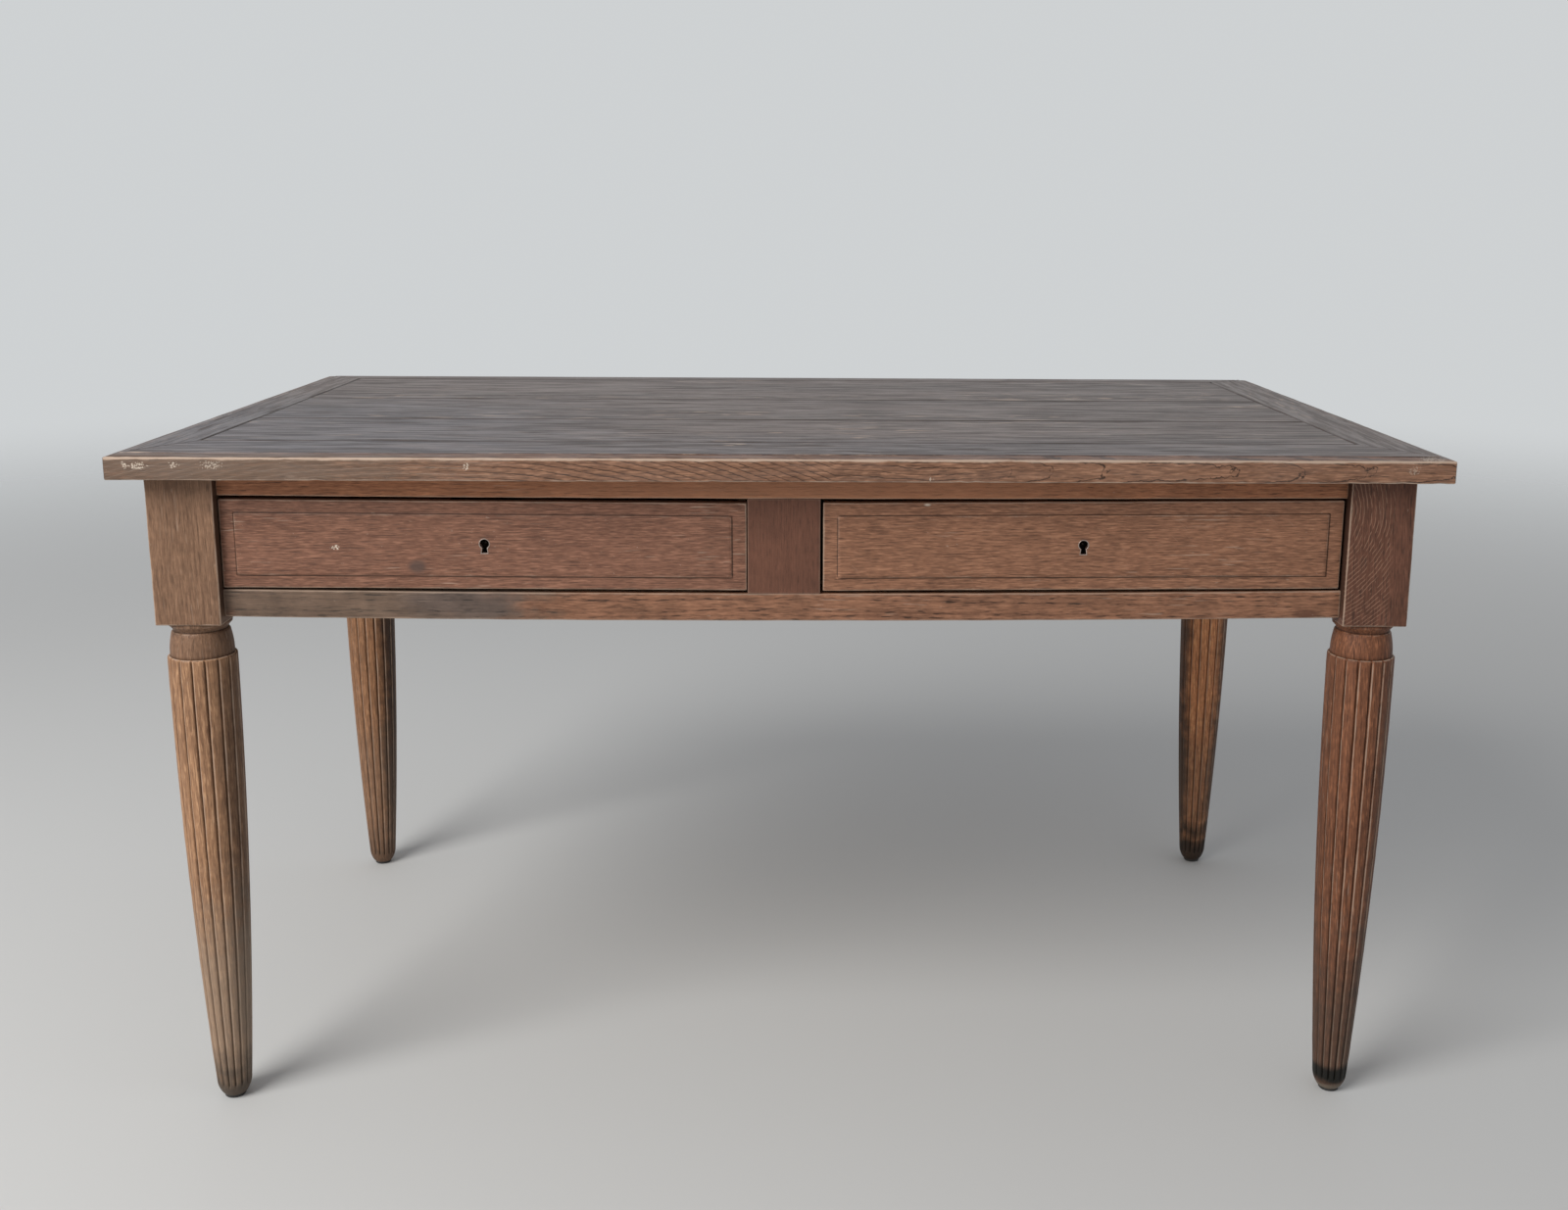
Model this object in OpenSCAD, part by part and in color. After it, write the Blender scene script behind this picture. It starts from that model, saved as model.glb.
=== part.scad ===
// Oak table with a framed plank top, reeded legs and two lockable drawers.
// Origin on the floor under the middle of the top, front towards -Y, up is +Z.

/* [Table] */
// Length of the top, left to right
table_w = 1400; // [1320:10:1600]
// Depth of the top, front to back
table_d = 800; // [760:10:900]
// Height of the top above the floor
table_h = 757; // [720:1:790]

/* [Top] */
// Thickness of the top
top_t = 27; // [25:0.5:34]
// Overhang of the top past the leg blocks at the two ends
end_overhang = 28; // [20:1:45]
// Overhang of the top past the leg blocks at the front and the back
front_overhang = 30; // [20:1:40]
// Width of the frame board along the front of the top
front_board_w = 103; // [90:1:120]
// Width of the frame board along the back of the top
back_board_w = 55; // [45:1:75]
// Width of the frame board at the left end of the top
left_board_w = 63; // [50:1:85]
// Width of the frame board at the right end of the top
right_board_w = 71; // [50:1:85]
// Width of the moulded band round the rim of the top
rim_w = 17; // [8:0.5:22]
// Step down at the inner side of the rim band
rim_step = 1; // [0.5:0.1:2]
// Fall of the rim band from its step to the edge
rim_fall = 2; // [1:0.1:4]
// Chamfer on each side of an open joint between boards
joint_chamfer = 0.8; // [0.4:0.1:1.5]
// Thickness of the tongues and splines in the top
tongue_t = 8; // [6:0.5:9]
// Length of the tongues in the top
tongue_l = 9; // [6:0.5:11]
// Width of the splines across the mitres
spline_w = 18; // [12:1:22]

/* [Legs] */
// Width of the square leg blocks
block_w = 70; // [70:1:80]
// Reach of the leg blocks below the aprons
block_drop = 7; // [4:0.5:15]
// Diameter of the collar under the block
collar_d = 66; // [62:0.5:69.5]
// Height of the collar
collar_h = 11; // [8:0.5:14]
// Diameter of the groove under the collar
neck_top_d = 57; // [50:0.5:61]
// Diameter of the bulb neck at its foot
neck_d = 66; // [62:0.5:71]
// Height of the bulb neck
neck_h = 28; // [22:0.5:36]
// Largest diameter of the reeded shaft
shaft_d = 72; // [71.5:0.5:84]
// Height of the rounded shoulder of the shaft
shoulder_h = 4; // [2:0.5:8]
// Diameter of the shaft where the foot starts
ankle_d = 38; // [34:0.5:50]
// Height of the rounded foot
foot_h = 16; // [10:0.5:24]
// Diameter of the underside of the foot
foot_d = 25; // [24.5:0.5:32]
// Number of staves round the shaft
stave_count = 16; // [12:1:24]
// Depth of the grooves between the staves where the shaft is widest
stave_groove = 2.2; // [1:0.1:3]
// Diameter of the glides under the feet
glide_d = 23; // [16:0.5:24]
// Thickness of the glides
glide_t = 4; // [2:0.5:8]
// Diameter of the nail of a glide
glide_nail_d = 2.5; // [1.5:0.1:4]
// Length of the nail of a glide
glide_nail_l = 18; // [10:1:30]

/* [Frame] */
// Height of the aprons
apron_h = 155; // [148:1:175]
// Thickness of the aprons
apron_t = 22; // [18:0.5:26]
// Setback of the aprons and rails behind the faces of the leg blocks
rail_setback = 12; // [4:0.5:14]
// Depth of the two front rails, front to back
rail_d = 45; // [38:1:50]
// Thickness of the upper front rail
upper_rail_t = 23; // [21:0.5:28]
// Thickness of the lower front rail
lower_rail_t = 30; // [24:0.5:34]
// Width of the stile between the drawers
stile_w = 78; // [50:1:100]
// Shift of the stile to the right of the middle
stile_shift = -3; // [-15:1:15]
// Thickness of the stile
stile_t = 25; // [18:0.5:30]
// Thickness of the tenons
tenon_t = 9; // [6:0.5:10]
// Length of the tenons in the leg blocks
tenon_l = 24; // [16:0.5:28]
// Length of the stub tenons
stub_l = 12; // [6:0.5:14]
// Margin from the edges of an apron to its tenons
tenon_inset = 15; // [8:1:25]
// Thickness of the dovetails of the upper rail
tail_t = 14; // [8:0.5:16]

/* [Drawer supports] */
// Thickness of the runners and of the centre bearer
runner_t = 20; // [16:0.5:24]
// Width of a runner under a drawer side
runner_ledge = 25; // [16:0.5:40]
// Height of the guides beside the drawers
guide_h = 20; // [12:0.5:40]
// Width of a drawer stop
stop_w = 40; // [20:1:60]
// Depth of a drawer stop
stop_d = 14; // [8:0.5:18]
// Height of a drawer stop
stop_h = 6; // [4:0.5:9]
// Gap between a drawer stop and the closed drawer front
stop_gap = 0.3; // [0.2:0.1:2]
// Width of a button that holds the top to the back apron
button_w = 30; // [20:1:40]
// Length of a button without its tongue
button_l = 38; // [30:1:50]
// Thickness of a button
button_t = 19; // [17:0.5:22]
// Length of the tongue of a button
button_tongue_l = 8; // [5:0.5:12]

/* [Drawers] */
// Length of a drawer from its front to its back
drawer_l = 560; // [400:10:600]
// Thickness of the drawer fronts
drawer_front_t = 20; // [18:0.5:23]
// Gap at each end of the left drawer front
left_drawer_gap = 1; // [0.5:0.1:4]
// Gap at each end of the right drawer front
right_drawer_gap = 3; // [0.5:0.1:4]
// Gap above the drawer fronts
drawer_top_gap = 3.5; // [1:0.1:5]
// Gap below the drawer fronts
drawer_foot_gap = 2.3; // [0.5:0.1:4]
// Gap between the drawer sides and the runners
runner_gap = 0.3; // [0.2:0.1:1]
// Thickness of the drawer sides
drawer_side_t = 12; // [10:0.5:15]
// Thickness of the drawer backs
drawer_back_t = 12; // [10:0.5:15]
// Drop of the drawer sides below the top of the front
side_drop = 3; // [0:0.5:8]
// Drop of the drawer backs below the sides
back_drop = 6; // [0:0.5:15]
// Thickness of the drawer bottoms
drawer_bottom_t = 8; // [6:0.5:10]
// Rise of the drawer bottom above the lower edge of the sides
bottom_rise = 12; // [11:0.5:16]
// Depth of the grooves that hold a drawer bottom
bottom_groove = 5; // [3:0.5:7]
// Wood left in the drawer front before the dovetails
dovetail_lap = 6; // [4:0.5:8]
// Width of a dovetail pin at its narrow end
pin_w = 8; // [5:0.5:10]
// Spread of a dovetail pin at each side of its root
pin_flare = 2.5; // [1:0.1:4]
// Rise of the field on a drawer front
field_rise = 1.5; // [1.1:0.1:3]
// Fall of the border from the foot of the field to the edges of the front
border_fall = 0.7; // [0.2:0.1:1]
// Border above and below the field
field_border = 14; // [8:0.5:20]
// Border at the ends of the field
field_end_border = 15.5; // [8:0.5:25]

/* [Locks] */
// Width of the plate of a lock
lock_plate_w = 76; // [72:1:90]
// Width of the case of a lock
lock_case_w = 54; // [40:1:55]
// Height of a lock
lock_h = 66; // [60:1:70]
// Thickness of the plate of a lock
lock_plate_t = 1.5; // [1:0.1:2]
// Depth of the case of a lock
lock_case_t = 9; // [8:0.5:10]
// Wall of the case of a lock
lock_wall = 1; // [0.8:0.1:1.5]
// Distance of the key pin below the top of the drawer front
key_drop = 48; // [44:0.5:50]
// Diameter of the key pin
key_pin_d = 4; // [3:0.1:5]
// Length of the key pin
key_pin_l = 12; // [8:0.5:14]
// Diameter of the round part of a keyhole
keyhole_d = 12; // [11:0.5:14]
// Width of the slot of a keyhole
keyhole_slot_w = 7; // [6.5:0.1:8]
// Height of a keyhole
keyhole_h = 17; // [15:0.5:19]
// Wall of the metal liner in a keyhole
liner_wall = 1; // [0.6:0.1:1.1]
// Depth of the metal liner in a keyhole
liner_depth = 4; // [2:0.5:6]
// Reach of the metal liner past the wood
liner_proud = 0.3; // [0.1:0.1:0.6]
// Width of a lock bolt
bolt_w = 24; // [16:1:30]
// Thickness of a lock bolt
bolt_t = 4.5; // [3:0.1:5]
// Length of a lock bolt
bolt_l = 38; // [24:0.5:40]
// Throw of a lock bolt
bolt_throw = 8; // [6:0.5:9]
// Play round a lock bolt
bolt_play = 0.3; // [0.2:0.1:0.6]

/* [Screws and nails] */
// Diameter of the screws into the top
top_screw_d = 4; // [3:0.1:5]
// Length of the screws into the top
top_screw_l = 34; // [30:0.5:36]
// Head of the screws into the top
top_screw_head = 8; // [7:0.1:10]
// Diameter of the lock screws
lock_screw_d = 3; // [2:0.1:3.5]
// Length of the lock screws
lock_screw_l = 9; // [6:0.5:11]
// Head of the lock screws
lock_screw_head = 5.5; // [4.5:0.1:6]
// Diameter of the nails in the drawer bottoms
nail_d = 2; // [1.5:0.1:3]
// Length of the nails in the drawer bottoms
nail_l = 28; // [20:1:40]

/* [Hidden] */
$fn = 32;
over = 4;
joint_play = 0.1;
socket_room = 1;
oak = "#6f4a38";
oak_top = "#5b4a42";
pine = "#b08a5c";
steel = "#7d7a75";
brass = "#8f7a4a";
nylon = "#1c1a19";

// Field planks from front to back, as shares of the depth of the field
plank_shares = [0.294, 0.325, 0.381];
// Points on the rim band between its step and the edge
rim_shares = [0, 0.3, 0.6, 0.8, 1];
// Splines: middle and length along their mitre
spline_place_share = 0.46;
spline_length_share = 0.5;
// Share of each stave taken by a groove, and how far its edges are rounded off
groove_share = 0.24;
edge_round_share = 0.2;
// Rings of the foot: height, width between the underside and the ankle, groove
foot_shares = [[0, 0, 0], [0.16, 0.45, 0.2], [0.5, 0.72, 0.6]];
// Rings of the shoulder: height, width between the neck and the shaft, groove
shoulder_shares = [[0.75, 0.75, 0.7], [1, 0.5, 0.2]];
// Points of the collar, downwards: depth, width between the groove and the collar
collar_shares = [[0, 1], [0.4, 1], [0.65, 0.45], [0.9, 0]];
// Margins of the stub tenons, on the widths of the pieces that carry them
stile_margin_share = 0.17;
runner_margin_share = 0.2;
// Rings of the shaft, downwards
shaft_ring_shares = [0, 0.15, 0.3, 0.45, 0.6, 0.75, 0.88, 1];
// Curve of the bulb neck, downwards
neck_shares = [0, 0.1, 0.25, 0.45, 0.7, 1];
// Tenons of the lower rail across its depth
rail_tenon_shares = [0.27, 0.73];
// Dovetail of the upper rail: width at its root and at its end
tail_shares = [0.5, 0.7];
// Screw places along their piece
rail_screw_shares = [-0.75, -0.33, 0.33, 0.75];
kicker_screw_shares = [-0.8, 0, 0.8];
centre_screw_shares = [-0.5, 0.6];
button_place_shares = [-0.7, -0.28, 0.28, 0.7];
button_screw_share = 0.42;
stop_place_shares = [0.2, 0.8];
nail_place_shares = [0.15, 0.5, 0.85];
lock_screw_shares = [0.14, 0.86];
dovetail_count = 3;

slab_z = table_h - top_t;
apron_z = slab_z - apron_h;
block_z = apron_z - block_drop;
floor_z = apron_z + lower_rail_t;
ceiling_z = slab_z - upper_rail_t;
block_out_x = table_w / 2 - end_overhang;
block_in_x = block_out_x - block_w;
block_out_y = table_d / 2 - front_overhang;
block_in_y = block_out_y - block_w;
leg_x = block_out_x - block_w / 2;
leg_y = block_out_y - block_w / 2;
rail_y = rail_setback - block_out_y;
rail_back_y = rail_y + rail_d;
apron_out_x = block_out_x - rail_setback;
apron_in_x = apron_out_x - apron_t;
apron_out_y = block_out_y - rail_setback;
apron_in_y = apron_out_y - apron_t;
stile_x0 = stile_shift - stile_w / 2;
stile_x1 = stile_shift + stile_w / 2;

field_x0 = left_board_w - table_w / 2;
field_x1 = table_w / 2 - right_board_w;
field_y0 = front_board_w - table_d / 2;
field_y1 = table_d / 2 - back_board_w;
tongue_z = slab_z + (top_t - tongue_t) / 2;

rim_z = block_z - collar_h - neck_h;
foot_top_z = glide_t + foot_h;

front_z0 = floor_z + drawer_foot_gap;
front_z1 = ceiling_z - drawer_top_gap;
side_z0 = floor_z + runner_gap;
side_z1 = front_z1 - side_drop;
bottom_z = side_z0 + bottom_rise;
back_z0 = bottom_z + drawer_bottom_t;
back_z1 = side_z1 - back_drop;
front_back_y = rail_y + drawer_front_t;
drawer_end_y = rail_y + drawer_l;
back_front_y = drawer_end_y - drawer_back_t;
field_y = rail_y - field_rise;
key_z = front_z1 - key_drop;
plate_y = front_back_y - lock_plate_t;
case_y = plate_y - lock_case_t;
bolt_y = (case_y + lock_wall + plate_y) / 2;

// Left and right ends of the two drawers
LEFT = [left_drawer_gap - block_in_x, stile_x0 - left_drawer_gap];
RIGHT = [stile_x1 + right_drawer_gap, block_in_x - right_drawer_gap];

rail_screws = [for (s = rail_screw_shares) [s * block_in_x, rail_y + rail_d / 2]];
side_screw_x = block_in_x + (apron_in_x - block_in_x) / 2;
kicker_screws = concat(
    [for (x = [-side_screw_x, side_screw_x], s = kicker_screw_shares) [x, s * block_in_y]],
    [for (s = centre_screw_shares) [stile_shift, s * block_in_y]]);
button_y = apron_in_y - socket_room;
button_screws = [for (s = button_place_shares)
    [s * block_in_x, button_y - button_l * (1 - button_screw_share)]];

// A box between two corners
module span_box(a, b) {
    translate(a) cube(b - a);
}

// An outline in Y and Z drawn out along X between two places
module along_x(x0, x1) {
    translate([x0, 0, 0]) rotate([90, 0, 90]) linear_extrude(x1 - x0) children();
}

// An outline in X and Z drawn out along Y between two places
module along_y(y0, y1) {
    translate([0, y1, 0]) rotate([90, 0, 0]) linear_extrude(y1 - y0) children();
}

// Children as they are for side 1 and mirrored left to right for side -1
module side(s) {
    if (s > 0) children();
    else mirror([1, 0, 0]) children();
}

// Only what lies in the right half of the table
module right_half() {
    intersection() {
        union() children();
        span_box([0, -table_d, 0], [table_w, table_d, table_h]);
    }
}

// A countersunk screw or nail that points up, with play round it where it is a hole
module screw(d, l, head, play = 0) {
    rotate_extrude() polygon([
        [0, -play], [head / 2 + play, -play], [head / 2 + play, play],
        [d / 2 + play, (head - d) / 2 + play], [d / 2 + play, l - d], [0, l + play]
    ]);
}

module top_screws_at(places, z, play = 0) {
    for (p = places) translate([p[0], p[1], z])
        screw(top_screw_d, top_screw_l, top_screw_head, play);
}

// Screw holes of every piece that they pass
module top_screw_holes() {
    top_screws_at(rail_screws, ceiling_z, joint_play);
    top_screws_at(kicker_screws, ceiling_z, joint_play);
    top_screws_at(button_screws, slab_z - button_t, joint_play);
}

// The moulded band that is cut from the rim of the top
module rim_outline() {
    polygon(concat(
        [[rim_w, table_h + over]],
        [for (s = rim_shares) [rim_w * (1 - s), table_h - rim_step - rim_fall * s * s]],
        [[-over, table_h - rim_step - rim_fall], [-over, table_h + over]]));
}

module rim_band() {
    for (s = [-1, 1]) {
        side(s) translate([-table_w / 2, 0, 0])
            along_y(-table_d / 2 - over, table_d / 2 + over) rim_outline();
        mirror([0, s > 0 ? 1 : 0, 0]) translate([0, -table_d / 2, 0])
            along_x(-table_w / 2 - over, table_w / 2 + over) rim_outline();
    }
}

// Section of the open field inside the frame, flared at the top by the joint chamfer
module field_section(a, b) {
    flare = joint_chamfer + over;
    polygon([
        [a, slab_z - over], [b, slab_z - over], [b, table_h - joint_chamfer],
        [b + flare, table_h + over], [a - flare, table_h + over], [a, table_h - joint_chamfer]
    ]);
}

module field_void() {
    reach = tongue_l + socket_room;
    intersection() {
        along_x(field_x0 - over - over, field_x1 + over + over) field_section(field_y0, field_y1);
        along_y(field_y0 - over - over, field_y1 + over + over) field_section(field_x0, field_x1);
    }
    span_box([field_x0 - reach, field_y0 - reach, tongue_z - joint_play],
        [field_x1 + reach, field_y1 + reach, tongue_z + tongue_t + joint_play]);
}

// Corners of the top and of its field, from the front left one round to the back left one
rim_corners = [[-table_w / 2, -table_d / 2], [table_w / 2, -table_d / 2],
    [table_w / 2, table_d / 2], [-table_w / 2, table_d / 2]];
field_corners = [[field_x0, field_y0], [field_x1, field_y0],
    [field_x1, field_y1], [field_x0, field_y1]];

module splines(play = 0) {
    for (i = [0:3]) {
        run = field_corners[i] - rim_corners[i];
        middle = rim_corners[i] + run * spline_place_share;
        length = norm(run) * spline_length_share;
        translate([middle[0], middle[1], tongue_z - play])
            rotate(atan2(run[1], run[0]))
            translate([-length / 2 - play, -spline_w / 2 - play, 0])
            cube([length + 2 * play, spline_w + 2 * play, tongue_t + 2 * play]);
    }
}

// One board of the mitred frame, by the number of its first corner
module frame_board(i) {
    j = (i + 1) % 4;
    color(oak_top) difference() {
        translate([0, 0, slab_z]) linear_extrude(top_t)
            polygon([rim_corners[i], rim_corners[j], field_corners[j], field_corners[i]]);
        rim_band();
        field_void();
        splines(joint_play);
        top_screw_holes();
    }
}
module top_front_board() { frame_board(0); }
module top_right_board() { frame_board(1); }
module top_back_board() { frame_board(2); }
module top_left_board() { frame_board(3); }
module mitre_splines() { color(pine) splines(); }

function share_sum(list, n) = n == 0 ? 0 : list[n - 1] + share_sum(list, n - 1);

module plank_section(a, b) {
    polygon([
        [a, slab_z], [b, slab_z], [b, table_h - joint_chamfer], [b - joint_chamfer, table_h],
        [a + joint_chamfer, table_h], [a, table_h - joint_chamfer]
    ]);
}

// One plank of the field, counted from the front
module plank(i) {
    depth = field_y1 - field_y0;
    y0 = field_y0 + depth * share_sum(plank_shares, i);
    y1 = field_y0 + depth * share_sum(plank_shares, i + 1);
    last = i == len(plank_shares) - 1;
    reach = tongue_l + socket_room;
    color(oak_top) difference() {
        union() {
            intersection() {
                along_x(field_x0, field_x1) plank_section(y0, y1);
                along_y(y0, y1) plank_section(field_x0, field_x1);
            }
            span_box([field_x0 - tongue_l, y0 - tongue_l, tongue_z],
                [field_x1 + tongue_l, last ? y1 + tongue_l : y1 - reach, tongue_z + tongue_t]);
        }
        if (!last) span_box([field_x0 - reach, y1 - reach, tongue_z - joint_play],
            [field_x1 + reach, y1 + over, tongue_z + tongue_t + joint_play]);
        top_screw_holes();
    }
}
module front_plank() { plank(0); }
module middle_plank() { plank(1); }
module back_plank() { plank(2); }

// Points round the shaft at one height: a groove, then an edge, the crown and an edge
function stave_ring(z, r, groove) = [
    for (i = [0:stave_count - 1], k = [0:3])
        let (pitch = 360 / stave_count,
            turn = [0, groove_share / 2, 0.5, 1 - groove_share / 2][k],
            depth = stave_groove * groove * r / (shaft_d / 2),
            out = r - depth * [1, edge_round_share, 0, edge_round_share][k],
            angle = (i + turn) * pitch)
        [out * cos(angle), out * sin(angle), z]];

shaft_rings = concat(
    [for (f = foot_shares) stave_ring(glide_t + foot_h * f[0],
        (foot_d + (ankle_d - foot_d) * f[1]) / 2, f[2])],
    [for (i = [len(shaft_ring_shares) - 1:-1:0])
        let (s = shaft_ring_shares[i], top_z = rim_z - shoulder_h)
        stave_ring(top_z - (top_z - foot_top_z) * s,
            (shaft_d - (shaft_d - ankle_d) * s * s) / 2, 1)],
    [for (f = shoulder_shares) stave_ring(rim_z - shoulder_h * (1 - f[0]),
        (neck_d + (shaft_d - neck_d) * f[1]) / 2, f[2])]);

// The reeded shaft with its foot, as one closed mesh
module reeded_shaft() {
    n = stave_count * 4;
    last = len(shaft_rings) - 1;
    polyhedron(
        points = [for (ring = shaft_rings, p = ring) p],
        faces = concat(
            [[for (j = [0:n - 1]) j], [for (j = [n - 1:-1:0]) last * n + j]],
            [for (k = [0:last - 1], j = [0:n - 1], h = [0, 1])
                let (a = k * n + j, b = k * n + (j + 1) % n)
                h == 0 ? [a, a + n, b + n] : [a, b + n, b]]));
}

module turned_neck() {
    top_z = block_z - collar_h;
    rotate_extrude($fn = 64) polygon(concat(
        [[0, block_z + over], [collar_d / 2 - over, block_z + over],
            [collar_d / 2 - over, block_z]],
        [for (f = collar_shares)
            [(neck_top_d + (collar_d - neck_top_d) * f[1]) / 2, block_z - collar_h * f[0]]],
        [for (s = neck_shares)
            [(neck_top_d + (neck_d - neck_top_d) * sin(90 * s)) / 2, top_z - neck_h * s]],
        [[neck_top_d / 2, rim_z], [neck_top_d / 2, rim_z - over], [0, rim_z - over]]));
}

// Tenons of the side aprons in all four legs
module side_apron_tenons(play = 0, room = 0) {
    middle = apron_in_x + apron_t / 2;
    reach = block_in_y + tenon_l + room;
    for (s = [-1, 1]) side(s)
        span_box([middle - tenon_t / 2 - play, -reach, apron_z + tenon_inset - play],
            [middle + tenon_t / 2 + play, reach, slab_z - tenon_inset + play]);
}

module back_apron_tenons(play = 0, room = 0) {
    middle = apron_in_y + apron_t / 2;
    reach = block_in_x + tenon_l + room;
    span_box([-reach, middle - tenon_t / 2 - play, apron_z + tenon_inset - play],
        [reach, middle + tenon_t / 2 + play, slab_z - tenon_inset + play]);
}

module lower_rail_tenons(play = 0, room = 0) {
    reach = block_in_x + tenon_l + room;
    margin = (lower_rail_t - 2 * tenon_t) / 3;
    for (s = rail_tenon_shares)
        span_box([-reach, rail_y + rail_d * s - tenon_t / 2 - play, apron_z + margin - play],
            [reach, rail_y + rail_d * s + tenon_t / 2 + play, floor_z - margin + play]);
}

// Dovetails that drop into the tops of the front leg blocks
module upper_rail_tails(play = 0) {
    middle = rail_y + rail_d / 2;
    root = rail_d * tail_shares[0] / 2 + play;
    end = rail_d * tail_shares[1] / 2 + play;
    for (s = [-1, 1]) side(s)
        translate([0, 0, slab_z - tail_t - play]) linear_extrude(tail_t + play) polygon([
            [block_in_x - over, middle - root], [block_in_x, middle - root],
            [block_in_x + tenon_l + play, middle - end], [block_in_x + tenon_l + play, middle + end],
            [block_in_x, middle + root], [block_in_x - over, middle + root]]);
}

// Stub tenons at the back ends of the side runners
module runner_stubs(play = 0, room = 0) {
    inset = (apron_in_x - block_in_x) / 4;
    z = floor_z - (runner_t + tenon_t) / 2;
    for (s = [-1, 1]) side(s)
        span_box([block_in_x + inset - play, block_in_y - over, z - play],
            [apron_in_x - inset + play, block_in_y + stub_l + room, z + tenon_t + play]);
}

module leg(sx, sy) {
    color(oak) difference() {
        translate([sx * leg_x, sy * leg_y, 0]) {
            reeded_shaft();
            turned_neck();
            span_box([-block_w / 2, -block_w / 2, block_z], [block_w / 2, block_w / 2, slab_z]);
        }
        side_apron_tenons(joint_play, socket_room);
        if (sy < 0) {
            lower_rail_tenons(joint_play, socket_room);
            upper_rail_tails(joint_play);
        } else {
            back_apron_tenons(joint_play, socket_room);
            runner_stubs(joint_play, socket_room);
        }
        translate([sx * leg_x, sy * leg_y, 0])
            cylinder(d = glide_nail_d + joint_play, h = glide_t + glide_nail_l + socket_room);
    }
}
module front_left_leg() { leg(-1, -1); }
module front_right_leg() { leg(1, -1); }
module back_left_leg() { leg(-1, 1); }
module back_right_leg() { leg(1, 1); }

module glide(sx, sy) {
    color(nylon) translate([sx * leg_x, sy * leg_y, 0]) rotate_extrude() polygon([
        [0, 0], [glide_d / 2 - glide_t / 4, 0], [glide_d / 2, glide_t / 4],
        [glide_d / 2, glide_t], [glide_nail_d / 2, glide_t],
        [glide_nail_d / 2, glide_t + glide_nail_l - glide_nail_d], [0, glide_t + glide_nail_l]]);
}
module front_left_glide() { glide(-1, -1); }
module front_right_glide() { glide(1, -1); }
module back_left_glide() { glide(-1, 1); }
module back_right_glide() { glide(1, 1); }

// Stub tenons of the stile in both rails
module stile_tenons(play = 0, room = 0) {
    inset = stile_w * stile_margin_share;
    y = rail_y + (stile_t - tenon_t) / 2;
    reach = stub_l + room;
    span_box([stile_x0 + inset - play, y - play, floor_z - reach],
        [stile_x1 - inset + play, y + tenon_t + play, ceiling_z + reach]);
}

// Stub tenons of the bearer and the kicker in the front rails and the back apron
module centre_stubs(z, play = 0, room = 0) {
    inset = stile_w * stile_margin_share;
    span_box([stile_x0 + inset - play, rail_back_y - stub_l - room, z - play],
        [stile_x1 - inset + play, apron_in_y + stub_l + room, z + tenon_t + play]);
}
bearer_stub_z = floor_z - (runner_t + tenon_t) / 2;
kicker_stub_z = ceiling_z + (upper_rail_t - tenon_t) / 2;

// Front stub tenons of the side runners in the lower rail
module runner_front_stubs(play = 0, room = 0) {
    inset = runner_ledge * runner_margin_share;
    z = floor_z - (runner_t + tenon_t) / 2;
    for (s = [-1, 1]) side(s)
        span_box([block_in_x - runner_ledge + inset - play, rail_back_y - stub_l - room, z - play],
            [block_in_x - inset + play, rail_back_y + over, z + tenon_t + play]);
}

module lower_front_rail() {
    color(oak) difference() {
        union() {
            span_box([-block_in_x, rail_y, apron_z], [block_in_x, rail_back_y, floor_z]);
            lower_rail_tenons();
        }
        stile_tenons(joint_play, socket_room);
        centre_stubs(bearer_stub_z, joint_play, socket_room);
        runner_front_stubs(joint_play, socket_room);
    }
}

// Middle of a drawer, left to right
function drawer_middle(d) = (d[0] + d[1]) / 2;

module upper_front_rail() {
    strike = bolt_throw - drawer_top_gap + socket_room;
    color(oak) difference() {
        union() {
            span_box([-block_in_x, rail_y, ceiling_z], [block_in_x, rail_back_y, slab_z]);
            upper_rail_tails();
        }
        stile_tenons(joint_play, socket_room);
        centre_stubs(kicker_stub_z, joint_play, socket_room);
        top_screw_holes();
        for (d = [LEFT, RIGHT]) translate([drawer_middle(d), bolt_y, 0])
            span_box([-bolt_w / 2 - socket_room, -bolt_t / 2 - socket_room, ceiling_z - over],
                [bolt_w / 2 + socket_room, bolt_t / 2 + socket_room, ceiling_z + strike]);
    }
}

module centre_stile() {
    color(oak) {
        span_box([stile_x0, rail_y, floor_z], [stile_x1, rail_y + stile_t, ceiling_z]);
        stile_tenons();
    }
}

module side_apron(s) {
    color(oak) side(s) {
        span_box([apron_in_x, -block_in_y, apron_z], [apron_out_x, block_in_y, slab_z]);
        right_half() side_apron_tenons();
    }
}
module left_apron() { side_apron(-1); }
module right_apron() { side_apron(1); }

// Tongues of the buttons in the back apron
module button_tongues(play = 0, room = 0) {
    z = slab_z - button_t / 2;
    for (s = button_place_shares) translate([s * block_in_x, 0, 0])
        span_box([-button_w / 2 - play - room, button_y - over, z - tenon_t / 2 - play],
            [button_w / 2 + play + room, button_y + button_tongue_l + room,
                z + tenon_t / 2 + play]);
}

module back_apron() {
    color(oak) difference() {
        union() {
            span_box([-block_in_x, apron_in_y, apron_z], [block_in_x, apron_out_y, slab_z]);
            back_apron_tenons();
        }
        centre_stubs(bearer_stub_z, joint_play, socket_room);
        centre_stubs(kicker_stub_z, joint_play, socket_room);
        button_tongues(joint_play, socket_room);
    }
}

module centre_bearer() {
    color(pine) {
        span_box([stile_x0 - runner_ledge, rail_back_y, floor_z - runner_t],
            [stile_x1 + runner_ledge, apron_in_y, floor_z]);
        centre_stubs(bearer_stub_z);
    }
}

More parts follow.
